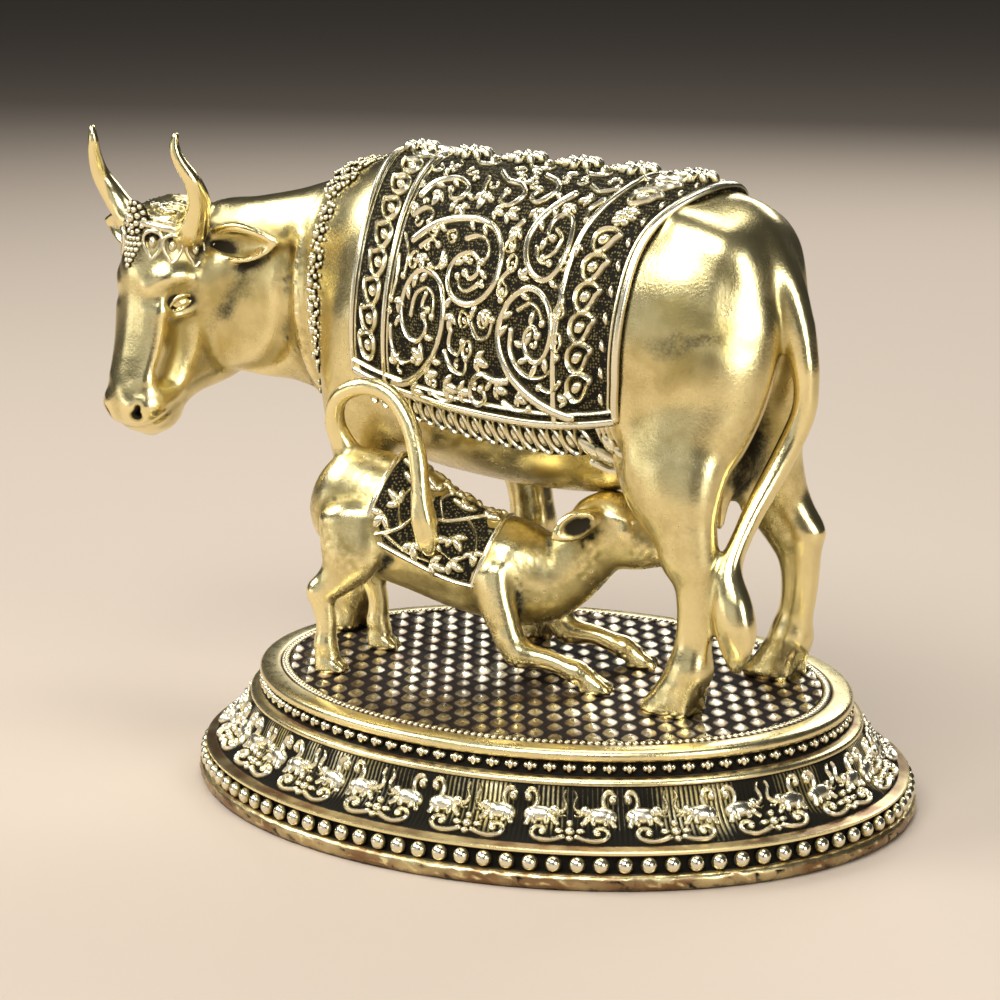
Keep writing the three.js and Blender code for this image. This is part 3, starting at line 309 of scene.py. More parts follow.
class Clay:
    """A lump of clay in a box, with tools that add rods, stacks of sections and hollows."""

    def __init__(self, low, high, pitch):
        self.low = np.asarray(low, float)
        self.pitch = pitch
        self.count = np.ceil((np.asarray(high, float) - self.low) / pitch).astype(int) + 1
        self.field = np.full(self.count, FAR, np.float32)

    def window(self, low, high):
        """The first and last grid points in a box, or nothing if the box lies outside."""
        a = np.clip(np.floor((np.asarray(low) - self.low) / self.pitch).astype(int), 0, self.count)
        b = np.clip(np.ceil((np.asarray(high) - self.low) / self.pitch).astype(int) + 1, 0, self.count)
        if (b <= a).any():
            return None
        return a, b

    def open_grid(self, a, b):
        """Coordinates of the window from a to b, each lying along its own axis."""
        x, y, z = (
            (self.low[k] + self.pitch * np.arange(a[k], b[k])).astype(np.float32) for k in range(3)
        )
        return x[:, None, None], y[None, :, None], z[None, None, :]

    def put(self, a, b, shape, blend, carve):
        """Works a shape, given as distances in the window from a to b, into the lump."""
        spans = tuple(slice(a[k], b[k]) for k in range(3))
        old = self.field[spans]
        if carve:
            self.field[spans] = -merge(-old, shape, blend)
        else:
            self.field[spans] = merge(old, shape, blend)

    def rod(self, rows, deep=(0, 0, 1), place=cow_point, blend=2.0, steps=4, carve=False):
        """A rod through rows of three coordinates, half deep and half wide."""
        rows = np.asarray(rows, float)
        if rows.shape[1] == 4:
            rows = np.concatenate([rows, rows[:, 3:]], 1)
        fine = along(rows, np.linspace(0, len(rows) - 1, (len(rows) - 1) * steps + 1))
        mid = place(fine[:, 0], fine[:, 1], fine[:, 2])
        half = np.maximum(fine[:, 3:5], 0.05)
        reach = half.max() + blend + 2.2
        found = self.window(mid.min(0) - reach, mid.max(0) + reach)
        if found is None:
            return
        low, high = found
        own = np.full(high - low, FAR, np.float32)
        for p, q, hp, hq in zip(mid[:-1], mid[1:], half[:-1], half[1:]):
            reach = max(hp.max(), hq.max()) + blend + 2.2
            near = self.window(np.minimum(p, q) - reach, np.maximum(p, q) + reach)
            if near is None:
                continue
            a, b = np.maximum(near[0], low), np.minimum(near[1], high)
            if (b <= a).any():
                continue
            span = tuple(slice(a[k] - low[k], b[k] - low[k]) for k in range(3))
            own[span] = np.minimum(own[span], self.link(a, b, p, q, hp, hq, deep))
        self.put(low, high, own, blend, carve)

    def link(self, a, b, p, q, hp, hq, deep):
        """Distances to one link of a rod, an elliptic cone with round ends."""
        grid = self.open_grid(a, b)
        pq = (q - p).astype(np.float32)
        size = float(pq @ pq) + 1e-9
        way = pq / math.sqrt(size)
        d = np.asarray(deep, float) - way * float(np.dot(deep, way))
        d = unit(d if np.linalg.norm(d) > 1e-3 else np.cross(way, (0.3, 0.9, 0.2)))
        w = np.cross(way, d)
        r = [grid[k] - np.float32(p[k]) for k in range(3)]
        t = np.clip(along_way(r, pq) / size, 0, 1)
        r = [r[k] - t * pq[k] for k in range(3)]
        rd = hp[0] + t * (hq[0] - hp[0])
        rw = hp[1] + t * (hq[1] - hp[1])
        rl = np.minimum(rd, rw)
        qd = along_way(r, d) / rd
        qw = along_way(r, w) / rw
        ql = along_way(r, way) / rl
        k0 = np.sqrt(qd * qd + qw * qw + ql * ql)
        k1 = np.sqrt((qd / rd) ** 2 + (qw / rw) ** 2 + (ql / rl) ** 2)
        return (k0 * (k0 - 1) / np.maximum(k1, 1e-5)).astype(np.float32)

    def ball(self, at, half, deep=(0, 0, 1), blend=1.0, carve=False):
        """A round or oval lump; half holds its half sizes along deep and across it."""
        at = np.asarray(at, float)
        half = np.asarray(half if np.ndim(half) else (half, half), float)
        reach = half.max() + blend + 2.2
        found = self.window(at - reach, at + reach)
        if found is None:
            return
        step = unit(np.cross(deep, (0.31, 0.52, 0.8))) * 0.01
        self.put(*found, self.link(*found, at - step, at + step, half, half, deep), blend, carve)

    def stack(self, rows, origin, axis, sign, across, blend=2.0, carve=False, square=2.0):
        """A stack of oval sections along X or Z. Rows: way along, middle in the two across
        directions, half sizes in them."""
        rows = np.asarray(rows, float)
        ends = rows[[0, -1], 0]
        reach = rows[:, 3:].max() + np.abs(rows[:, 1:3]).max() + blend + 2.5
        low, high = np.asarray(origin, float) - reach, np.asarray(origin, float) + reach
        way = sorted(origin[axis] + sign * ends)
        low[axis], high[axis] = way[0] - blend - 2.5, way[1] + blend + 2.5
        found = self.window(low, high)
        if found is None:
            return
        grid = self.open_grid(*found)
        s = (grid[axis].ravel() - origin[axis]) * sign
        inside = np.clip(s, ends[0], ends[1])
        rest = beside(axis)
        at = [c.reshape(rest).astype(np.float32) for c in np.moveaxis(at_first(rows, inside), -1, 0)]
        beyond = np.abs(s - inside).reshape(rest).astype(np.float32)
        slope = np.gradient(np.asarray(at[3].ravel() + at[4].ravel()) / 2, self.pitch)
        lean = (1 / np.sqrt(1 + np.clip(slope, -2, 2) ** 2)).reshape(rest).astype(np.float32)
        r = [grid[k] - np.float32(origin[k]) for k in range(3)]
        p = (along_way(r, across[0]) - at[1]) / at[3]
        q = (along_way(r, across[1]) - at[2]) / at[4]
        if square == 2.0:
            k0 = np.sqrt(p * p + q * q)
        else:
            k0 = (np.abs(p) ** square + np.abs(q) ** square) ** (1 / square)
        k1 = np.sqrt((p / at[3]) ** 2 + (q / at[4]) ** 2)
        d = lean * k0 * (k0 - 1) / np.maximum(k1, 1e-5)
        d = np.where(beyond > 0, np.sqrt(np.maximum(d, 0) ** 2 + beyond ** 2), d)
        self.put(*found, d.astype(np.float32), blend, carve)

    def cut(self, axis, value, keep_above):
        """Takes away all on one side of a level or upright plane."""
        at = self.low[axis] + self.pitch * np.arange(self.count[axis])
        d = (value - at if keep_above else at - value).astype(np.float32)
        self.field = np.maximum(self.field, d.reshape(beside(axis)))

    def read(self, values, points):
        """Values of a grid at points, mixed from the eight corners round each."""
        p = (points - self.low) / self.pitch
        i = np.clip(np.floor(p).astype(int), 0, self.count - 2)
        f = p - i
        out = 0
        for a in (0, 1):
            for b in (0, 1):
                for c in (0, 1):
                    weight = (
                        (f[:, 0] if a else 1 - f[:, 0])
                        * (f[:, 1] if b else 1 - f[:, 1])
                        * (f[:, 2] if c else 1 - f[:, 2])
                    )
                    out = out + weight * values[i[:, 0] + a, i[:, 1] + b, i[:, 2] + c]
        return out

    def out_of(self, points):
        """The direction out of the surface at points, and how steeply the distance grows there."""
        h = self.pitch * 0.75
        f = self.field
        g = np.stack([self.read(f, points + s) - self.read(f, points - s) for s in np.eye(3) * h], 1)
        steep = np.linalg.norm(g, axis=1, keepdims=True)
        return g / np.maximum(steep, 1e-6), steep[:, 0] / (2 * h)

    def soften(self, rounds):
        """Evens out the lump with its neighbours, as a burnisher does."""
        for _ in range(rounds):
            for k in range(3):
                f = np.moveaxis(self.field, k, 0)
                f[1:-1] = 0.25 * f[:-2] + 0.5 * f[1:-1] + 0.25 * f[2:]

    def skin(self, rounds=4):
        """The surface as points and four-sided faces, evened out and laid back on the surface."""
        f = self.field
        for k in range(3):
            edge = [slice(None)] * 3
            for end in (0, -1):
                edge[k] = end
                f[tuple(edge)] = np.maximum(f[tuple(edge)], 0.2)
        inside = f < 0
        n = self.count - 1
        total = np.zeros(n, np.int8)
        corners = [(i, j, k) for i in (0, 1) for j in (0, 1) for k in (0, 1)]
        for i, j, k in corners:
            total += inside[i:n[0] + i, j:n[1] + j, k:n[2] + k]
        active = (total > 0) & (total < 8)
        cells = np.argwhere(active)
        index = np.full(n, -1, np.int64)
        index[active] = np.arange(len(cells))
        value = {c: f[cells[:, 0] + c[0], cells[:, 1] + c[1], cells[:, 2] + c[2]] for c in corners}
        place = np.zeros((len(cells), 3))
        hits = np.zeros(len(cells))
        for c in corners:
            for k in range(3):
                if c[k]:
                    continue
                e = tuple(v + (m == k) for m, v in enumerate(c))
                va, vb = value[c], value[e]
                cross = (va < 0) != (vb < 0)
                t = va[cross] / (va[cross] - vb[cross])
                spot = np.repeat(np.array([c], float), cross.sum(), 0)
                spot[:, k] = t
                place[cross] += spot
                hits[cross] += 1
        points = self.low + (cells + place / hits[:, None]) * self.pitch
        quads = []
        for k, (m, o) in ((0, (1, 2)), (1, (2, 0)), (2, (0, 1))):
            a = [slice(0, n[v] + 1) for v in range(3)]
            b = list(a)
            a[k], b[k] = slice(0, n[k]), slice(1, n[k] + 1)
            first, second = inside[tuple(a)], inside[tuple(b)]
            change = first != second
            spots = np.argwhere(change)
            keep = ((spots[:, [m, o]] > 0) & (spots[:, [m, o]] < n[[m, o]])).all(1)
            spots = spots[keep]
            outward = first[tuple(spots.T)]
            ring = []
            for dm, do in ((-1, -1), (0, -1), (0, 0), (-1, 0)):
                cell = spots.copy()
                cell[:, m] += dm
                cell[:, o] += do
                ring.append(index[tuple(cell.T)])
            ring = np.stack(ring, 1)
            ring[~outward] = ring[~outward][:, ::-1]
            quads.append(ring)
        quads = np.concatenate(quads)
        a, b = quads.ravel(), np.roll(quads, -1, 1).ravel()
        number = np.maximum(np.bincount(a, minlength=len(points)), 1)[:, None]
        for _ in range(rounds):
            mean = np.stack([np.bincount(a, points[b, k], len(points)) for k in range(3)], 1) / number
            points = points + 0.6 * (mean - points)
            way, steep = self.out_of(points)
            far = self.read(f, points) / np.maximum(steep, 0.3)
            points = points - way * np.clip(far, -0.5 * self.pitch, 0.5 * self.pitch)[:, None]
        return points, quads

    def rise(self, points, reach, gain):
        """How far each point stands proud of its surroundings, 0 in a crease and 1 on a ridge."""
        soft = np.clip(self.field, -reach * 2, reach * 2)
        width = max(1, int(round(reach / self.pitch)))
        for k in range(3):
            for _ in range(2):
                pad = [(0, 0)] * 3
                pad[k] = (width + 1, width)
                total = np.cumsum(np.pad(soft, pad, mode="edge"), axis=k, dtype=np.float32)
                size = total.shape[k]
                first = [slice(None)] * 3
                last = [slice(None)] * 3
                first[k] = slice(0, size - 2 * width - 1)
                last[k] = slice(2 * width + 1, size)
                soft = (total[tuple(last)] - total[tuple(first)]) / (2 * width + 1)
        return np.clip(0.5 + gain * self.read(soft, points) / reach, 0, 1)


# Relief: strokes, leaves, drops and beads drawn on a flat plan, then laid on a form.

class Plan:
    """A flat plan of heights in millimetres, x across and y along, that shows its open ground."""

    def __init__(self, low, high, pitch):
        nx = int(round((high[0] - low[0]) / pitch)) + 1
        ny = int(round((high[1] - low[1]) / pitch)) + 1
        self.x = np.linspace(low[0], high[0], nx)
        self.y = np.linspace(low[1], high[1], ny)
        self.height = np.zeros((nx, ny))

    def window(self, low, high):
        i, j = np.searchsorted(self.x, (low[0], high[0]))
        k, m = np.searchsorted(self.y, (low[1], high[1]))
        if j <= i or m <= k:
            return None
        return slice(i, j), slice(k, m), self.x[i:j, None], self.y[None, k:m]

    def stroke(self, points, radius, height, end=1.0, closed=False, base=0.0):
        """A half-round bead of metal along a smooth line; end is its radius at the last point."""
        line = curve(points, closed)
        found = self.window(line.min(0) - radius, line.max(0) + radius)
        if found is None:
            return
        i, k, x, y = found
        best = np.zeros(np.broadcast_shapes(x.shape, y.shape))
        sizes = radius * np.linspace(1, end, len(line))
        for p, q, r in zip(line[:-1], line[1:], sizes):
            pq = q - p
            t = np.clip(((x - p[0]) * pq[0] + (y - p[1]) * pq[1]) / (pq @ pq + 1e-9), 0, 1)
            d2 = (x - p[0] - t * pq[0]) ** 2 + (y - p[1] - t * pq[1]) ** 2
            best = np.maximum(best, np.sqrt(np.maximum(1 - d2 / (r * r),
                                                       0)) * (0.35 + 0.65 * r / radius))
        self.height[i, k] = np.maximum(self.height[i, k], np.where(best > 0, base + height * best, -9))

    def bead(self, at, radius, height, base=0.0):
        """A round dome."""
        self.leaf(at, 0.0, 2 * radius, 2 * radius, height, 1.0, 0.0, base)

    def leaf(self, at, turn, length, width, height, point=1.6, vein=0.25, base=0.0):
        """A domed leaf round a place, pointing along turn in degrees; point sharpens its ends."""
        reach = max(length, width) / 2 + 0.5
        at = np.asarray(at, float)
        found = self.window(at - reach, at + reach)
        if found is None:
            return
        i, k, x, y = found
        c, s = turned(turn)
        p = ((x - at[0]) * c + (y - at[1]) * s) / (length / 2)
        q = (-(x - at[0]) * s + (y - at[1]) * c) / (width / 2)
        room = np.maximum(1 - np.abs(p) ** 2, 0) ** (0.5 * point)
        body = np.where(room > 0.02, 1 - (q / np.maximum(room, 0.02)) ** 2, -1)
        h = height * np.sqrt(np.maximum(body, 0)) * (0.55 + 0.45 * room)
        h = h - vein * height * np.exp(-(q / 0.16) ** 2) * (body > 0)
        self.height[i, k] = np.maximum(self.height[i, k], np.where(body > 0, base + h, -9))

    def drop(self, heart, turn, size, height, inner, base, rim):
        """A teardrop: an outline round a hollow with an almond in it; its tip points along turn."""
        c, s = turned(turn)
        shape = [(1.28, 0.16), (0.86, 0.36), (0.4, 0.74), (-0.15, 0.94), (-0.68, 0.72), (-0.94, 0.05),
                 (-0.72, -0.66), (-0.2, -0.92), (0.36, -0.8), (0.9, -0.42)]
        heart = np.asarray(heart, float)
        ring = [heart + size * np.array([a * c - b * s, a * s + b * c]) for a, b in shape]
        self.stroke(ring, rim, height, closed=True, base=base)
        middle = heart - size * np.array([0.06 * c, 0.06 * s])
        self.leaf(middle, turn, size * 1.5 * inner + 1.0, size * inner * 1.35 + 0.6, height, 1.1, 0.0,
                  base)

    def flower(self, at, reach, petals, height, turn, middle, base):
        """Petals in a ring round a bead."""
        at = np.asarray(at, float)
        for k in range(petals):
            a = turn + 360 * k / petals
            spot = at + reach * 0.6 * np.array(turned(a))
            self.leaf(spot, a, reach * 0.85, reach * 0.62, height, 0.8, 0.15, base)
        self.bead(at, middle, height * 1.2, base)


class Relief(Plan):
    """Relief of lines, leaves and beads that are closed forms, sunk a little into the ground."""

    def __init__(self, low, high, pitch):
        super().__init__(low, high, pitch)
        self.points, self.quads, self.tris, self.marks, self.count = [], [], [], [], 0

    def form(self, points, quads, tris, marks):
        """Adds one closed form; marks say how far its points stand out, from 0 to 1."""
        self.points.append(points)
        self.quads.append(np.asarray(quads) + self.count)
        self.tris.append(np.asarray(tris) + self.count)
        self.marks.append(marks)
        self.count += len(points)

    def stroke(self, points, radius, height, end=1.0, closed=False, base=0.0):
        super().stroke(points, radius, height, end, closed, base)
        line = curve(points, closed, 0.5 if closed else max(0.55, 0.95 * radius))
        if closed:
            line = line[:-1]
            way = unit(np.roll(line, -1, 0) - np.roll(line, 1, 0))
        else:
            way = unit(np.gradient(line, axis=0))
        n, sides = len(line), 6 if radius < 0.75 else 8
        size = radius * np.linspace(1, end, n)
        a = np.pi / 2 + 2 * np.pi * np.arange(sides) / sides
        up = np.where(np.sin(a) > -0.01, height * np.sin(a), 0.6 * np.sin(a))
        full = (0.35 + 0.65 * size / radius)[:, None]
        left = np.stack([-way[:, 1], way[:, 0]], 1)
        flat = line[:, None] + (size[:, None] * np.cos(a))[..., None] * left[:, None]
        form = np.concatenate([flat, (base + up * full)[..., None]], 2).reshape(-1, 3)
        marks = np.tile(np.clip(0.4 + 0.6 * np.sin(a), 0, 1), n)
        i = np.arange(n if closed else n - 1)[:, None] * sides
        j, k = np.arange(sides)[None, :], (np.arange(sides)[None, :] + 1) % sides
        m = (i + sides) % (n * sides)
        quads = np.stack([i + j, i + k, m + k, m + j], -1).reshape(-1, 4)
        tris = np.zeros((0, 3), int)
        if not closed:
            ends = [[*(line[0] - 0.7 * size[0] * way[0]), base + 0.3 * height],
                    [*(line[-1] + 0.7 * size[-1] * way[-1]), base + 0.3 * height]]
            form, marks = np.concatenate([form, ends]), np.concatenate([marks, (0.4, 0.4)])
            j, k, far = j[0], k[0], (n - 1) * sides
            tris = np.concatenate([np.stack([np.full(sides, n * sides), k, j], 1),
                                   np.stack([np.full(sides, n * sides + 1), far + j, far + k], 1)])
        self.form(form, quads, tris, marks)

    def leaf(self, at, turn, length, width, height, point=1.6, vein=0.25, base=0.0):
        super().leaf(at, turn, length, width, height, point, vein, base)
        sides = 8 if max(length, width) < 1.7 else 12
        c, s = turned(turn)
        a = 2 * np.pi * np.arange(sides) / sides
        p, q = np.cos(a) * length / 2, np.sign(np.sin(a)) * np.abs(np.sin(a)) ** point * width / 2
        form, marks = [[at[0], at[1], base + height]], [1.0]
        for share in (0.45, 0.8, 1.0):
            up = height * math.sqrt(1 - share * share) - vein * height * share * np.abs(np.cos(a)) ** 3
            up = up if share < 1 else np.full(sides, -0.15)
            across, down = at[0] + share * (p * c - q * s), at[1] + share * (p * s + q * c)
            form += np.stack([across, down, base + up], 1).tolist()
            marks += [1.0 - 0.85 * share ** 4] * sides
        form.append([at[0], at[1], base - 0.7])
        marks.append(0.0)
        j, k = np.arange(sides), (np.arange(sides) + 1) % sides
        quads = []
        for ring in (1, 1 + sides):
            quads.append(np.stack([ring + j, ring + sides + j, ring + sides + k, ring + k], 1))
        last = 1 + 3 * sides
        tris = np.concatenate([np.stack([0 * j, 1 + j, 1 + k], 1),
                               np.stack([0 * j + last, 1 + 2 * sides + k, 1 + 2 * sides + j], 1)])
        self.form(np.array(form), np.concatenate(quads), tris, np.array(marks))

    def laid(self, place):
        """All forms laid on a surface by place(x, y, lift): their points, faces and marks."""
        flat = np.concatenate(self.points)
        points = place(flat[:, 0], flat[:, 1], flat[:, 2])
        faces = facing_out(points, [np.concatenate(self.quads), np.concatenate(self.tris)])
        return points, faces, np.concatenate(self.marks)


def together(shells):
    """Several shells, each of points, faces and marks, as one set."""
    points, faces, marks, count = [], [], [], 0
    for some, groups, rise in shells:
        points.append(some)
        faces += [np.asarray(g) + count for g in groups]
        marks.append(np.concatenate([rise, np.full(len(some) - len(rise), GROUND_RISE)]))
        count += len(some)
    return np.concatenate(points), faces, np.concatenate(marks)


# Meshes.

def facing_out(points, groups):
    """Groups of faces, turned so that the closed shell they make has a positive volume."""
    volume = 0
    for f in groups:
        a = points[f[:, 0]]
        for j in range(1, f.shape[1] - 1):
            volume += (a * np.cross(points[f[:, j]], points[f[:, j + 1]])).sum()
    return groups if volume > 0 else [f[:, ::-1] for f in groups]


def grid_faces(nx, ny, ring=False):
    """Four-sided faces of a grid of points; a ring closes it along the first direction."""
    i = np.arange(nx if ring else nx - 1)[:, None]
    j = np.arange(ny - 1)[None, :]
    n = (i + 1) % nx
    return np.stack([i * ny + j, n * ny + j, n * ny + j + 1, i * ny + j + 1], -1).reshape(-1, 4)


def edge_of(nx, ny):
    """The points along the edge of a grid, once round."""
    return np.concatenate([
        np.arange(ny), np.arange(1, nx) * ny + ny - 1, (nx - 1) * ny + np.arange(ny - 2, -1, -1),
        np.arange(nx - 2, 0, -1) * ny,
    ])


def lined(points, quads, edge, sunk, middle):
    """Closes a sheet: its edge goes down to a sunk edge and on to one point behind it."""
    n, m = len(points), len(edge)
    points = np.concatenate([points, sunk, [middle]])
    k = np.arange(m)
    nxt = (k + 1) % m
    wall = np.stack([edge[nxt], edge[k], n + k, n + nxt], 1)
    back = np.stack([n + nxt, n + k, np.full(m, n + m)], 1)
    return points, facing_out(points, [quads, wall, back])


def cast(name, points, faces, finish, rise=None, node=None, angle=None):
    """Makes a piece of millimetre points and groups of faces, with its finish and its place."""
    mesh = bpy.data.meshes.new(name)
    mesh.from_pydata((points * 0.001).tolist(), [],
                     [face for group in faces for face in group.tolist()])
    mesh.update()
    body = bpy.data.objects.new(name, mesh)
    bpy.context.scene.collection.objects.link(body)
    finished(body, finish, rise, node, angle)


def finished(body, finish, rise=None, node=None, angle=None):
    """Gives a piece its finish, its place on the figure and its smooth faces."""
    mesh = body.data
    mesh.materials.clear()
    mesh.materials.append(bpy.data.materials[finish])
    if rise is not None:
        values = np.full(len(mesh.vertices), GROUND_RISE, np.float32)
        values[:len(rise)] = rise
        mark = mesh.attributes.get("rise") or mesh.attributes.new("rise", "FLOAT", "POINT")
        mark.data.foreach_set("value", values)
    only(body)
    if angle:
        bpy.ops.object.shade_smooth_by_angle(angle=math.radians(angle))
    else:
        bpy.ops.object.shade_smooth()
    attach(body, "root")
    if node:
        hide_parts(node)


def nothing():
    """Leaves no object selected."""
    for o in bpy.context.view_layer.objects:
        o.select_set(False)


def only(body):
    """Selects one object and nothing else."""
    nothing()
    body.select_set(True)
    bpy.context.view_layer.objects.active = body


def pattern_of(body):
    """Takes a modelled pattern out of the scene and returns its points in millimetres, and faces."""
    mesh = body.data
    points = np.array([v.co for v in mesh.vertices], float) * 1000
    faces = [list(p.vertices) for p in mesh.polygons]
    bpy.data.objects.remove(body)
    bpy.data.meshes.remove(mesh)
    return points, faces


def cast_copies(name, pattern, places, finish, rise):
    """Casts copies of a pattern at places, each a middle, three directions and a size."""
    points, faces = pattern
    rows = [points * size @ np.stack([side, way, out]) + at for at, side, way, out, size in places]
    groups = []
    for k in range(len(places)):
        groups += [np.array([face]) + k * len(points) for face in faces]
    cast(name, np.concatenate(rows), groups, finish, np.tile(rise, len(places)))


def dome(sides, rings, high=1.0):
    """A bead modelled as a round ball, squashed or stretched upright to its height."""
    nothing()
    bpy.ops.mesh.primitive_uv_sphere_add(segments=sides, ring_count=rings, radius=0.001)
    body = bpy.context.active_object
    bpy.ops.object.mode_set(mode="EDIT")
    bpy.ops.mesh.select_all(action="SELECT")
    bpy.ops.transform.resize(value=(1, 1, high))
    bpy.ops.object.mode_set(mode="OBJECT")
    points, faces = pattern_of(body)
    return (points, faces), np.clip(0.35 + 0.65 * points[:, 2] / high, 0, 1)


# The oval foot.

def oval(t, out, z):
    """Points on an oval that runs a distance outside the plate's edge."""
    t, out, z = np.broadcast_arrays(t, out, z)
    return np.stack([(PLATE_A + out) * np.cos(t), (PLATE_B + out) * np.sin(t), z], -1)


def oval_out(t, out=0.0):
    """The level direction straight out of the oval."""
    return unit(np.stack([np.cos(t) * (PLATE_B + out), np.sin(t) * (PLATE_A + out), 0 * t], -1))


def evenly(count, out):
    """Angles that share an oval's edge out evenly."""
    fine = 4000
    t = 2 * np.pi * np.arange(fine + 1) / fine
    p = oval(t, out, 0.0)
    length = np.concatenate([[0], np.cumsum(np.linalg.norm(np.diff(p, axis=0), axis=1))])
    return np.interp(length[-1] * np.arange(count) / count, length, t)


def oval_length(out):
    """The way once round an oval."""
    a, b = PLATE_A + out, PLATE_B + out
    h = ((a - b) / (a + b)) ** 2
    return math.pi * (a + b) * (1 + 3 * h / (10 + math.sqrt(4 - 3 * h)))


def frames(t, out, z, lean=0.0, size=1.0):
    """Places on the oval for copies: out of the surface, which leans back by lean degrees."""
    places = []
    c, s = turned(lean)
    for a in np.atleast_1d(t):
        level = oval_out(np.array(a), out)
        normal = level * c + np.array([0, 0, 1.0]) * s
        side = np.cross([0, 0, 1.0], level)
        places.append((oval(np.array(a), out, z), side, np.cross(normal, side), normal, size))
    return places


# Finishes. "rise" is an attribute of every piece: 0 in its hollows, 1 on its crests; on the cow and the
# calf it also carries painted shade and painted dark reflection.

def patina_group():
    """Old brass: bright on the crests, olive-brown between, near black in the hollows."""
    tree = bpy.data.node_groups.new("old_brass_patina", "ShaderNodeTree")
    for name, start in (("Rise", 0.5), ("Crest", (0.9, 0.74, 0.42, 1)), ("Body", (0.5, 0.36, 0.13, 1)),
                        ("Hollow", (0.012, 0.01, 0.007, 1)), ("Dirt and shade", 0.3), ("Rub", 0.65),
                        ("Stain", 0.2), ("Speck", 0.15), ("Gloss", 0.2), ("Pebble", 0.0)):
        kind = "NodeSocketColor" if isinstance(start, tuple) else "NodeSocketFloat"
        tree.interface.new_socket(name=name, in_out="INPUT", socket_type=kind).default_value = start
    for name in ("Colour", "Metal", "Roughness", "Height"):
        kind = "NodeSocketColor" if name == "Colour" else "NodeSocketFloat"
        tree.interface.new_socket(name=name, in_out="OUTPUT", socket_type=kind)
    nodes, links = tree.nodes, tree.links
    given = nodes.new("NodeGroupInput")
    out = nodes.new("NodeGroupOutput")
    place = nodes.new("ShaderNodeTexCoord")

    def feed(inlet, value):
        """Links an outlet to an inlet, or sets the inlet to a number or a colour."""
        if isinstance(value, (int, float, tuple)):
            inlet.default_value = value
        else:
            links.new(value, inlet)

    def noise(scale, detail, rough=0.55, twist=0.0):
        node = nodes.new("ShaderNodeTexNoise")
        node.inputs["Scale"].default_value = scale
        node.inputs["Detail"].default_value = detail
        node.inputs["Roughness"].default_value = rough
        node.inputs["Distortion"].default_value = twist
        links.new(place.outputs["Object"], node.inputs["Vector"])
        return node.outputs["Fac"]

    def maths(kind, a, b):
        node = nodes.new("ShaderNodeMath")
        node.operation = kind
        feed(node.inputs[0], a)
        feed(node.inputs[1], b)
        return node.outputs[0]

    def plus(a, b):
        return maths("ADD", a, b)

    def minus(a, b):
        return maths("SUBTRACT", a, b)

    def times(a, b):
        return maths("MULTIPLY", a, b)

    def ramp(value, low, high, first, last):
        node = nodes.new("ShaderNodeMapRange")
        node.interpolation_type = "SMOOTHSTEP"
        for name, v in (("Value", value), ("From Min", low), ("From Max", high), ("To Min", first),
                        ("To Max", last)):
            feed(node.inputs[name], v)
        return node.outputs["Result"]

    def mix(share, a, b):
        node = nodes.new("ShaderNodeMix")
        node.data_type = "RGBA"
        # this node mixes colours by its inlets 0, 6 and 7 and gives them at its outlet 2
        for inlet, v in ((0, share), (6, a), (7, b)):
            feed(node.inputs[inlet], v)
        return node.outputs[2]

    asked = given.outputs
    cloud = noise(70, 3)
    blotch = noise(230, 4, 0.6, 0.3)
    speck = noise(1500, 2)
    level = plus(asked["Rise"], times(minus(blotch, 0.5), asked["Stain"]))
    level = plus(level, times(minus(speck, 0.5), asked["Speck"]))
    # below this threshold the colour goes to the dark of the hollows: patina, and on the cow and calf
    # also the painted shade carried in Rise
    dark = ramp(level, minus(asked["Dirt and shade"], 0.14), plus(asked["Dirt and shade"], 0.12), 1.0, 0.0)
    bright = ramp(level, minus(asked["Rub"], 0.16), plus(asked["Rub"], 0.16), 0.0, 1.0)
    warm = mix(ramp(cloud, 0.35, 0.68, 0.0, 0.55), asked["Body"], asked["Crest"])
    colour = mix(bright, warm, asked["Crest"])
    colour = mix(dark, colour, asked["Hollow"])
    # the punched ground between the ornament: tiny rubbed dots on black
    punch = nodes.new("ShaderNodeTexVoronoi")
    punch.inputs["Scale"].default_value = 1450
    punch.inputs["Randomness"].default_value = 0.55
    links.new(place.outputs["Object"], punch.inputs["Vector"])
    dot = times(ramp(punch.outputs["Distance"], 0.22, 0.42, 1.0, 0.0), times(dark, asked["Pebble"]))
    colour = mix(dot, colour, asked["Body"])
    dark = minus(dark, times(dot, 0.8))
    dull = plus(asked["Gloss"], times(dark, 0.45))
    dull = plus(dull, times(minus(blotch, 0.45), 0.16))
    dull = plus(dull, times(minus(1.0, bright), 0.1))
    grain = plus(times(speck, 0.6), times(blotch, 0.5))
    grain = plus(grain, times(dot, 1.5))
    for name, value in (("Colour", colour), ("Metal", ramp(dark, 0.2, 1.0, 1.0, 0.25)),
                        ("Roughness", dull), ("Height", grain)):
        links.new(value, out.inputs[name])
    return tree


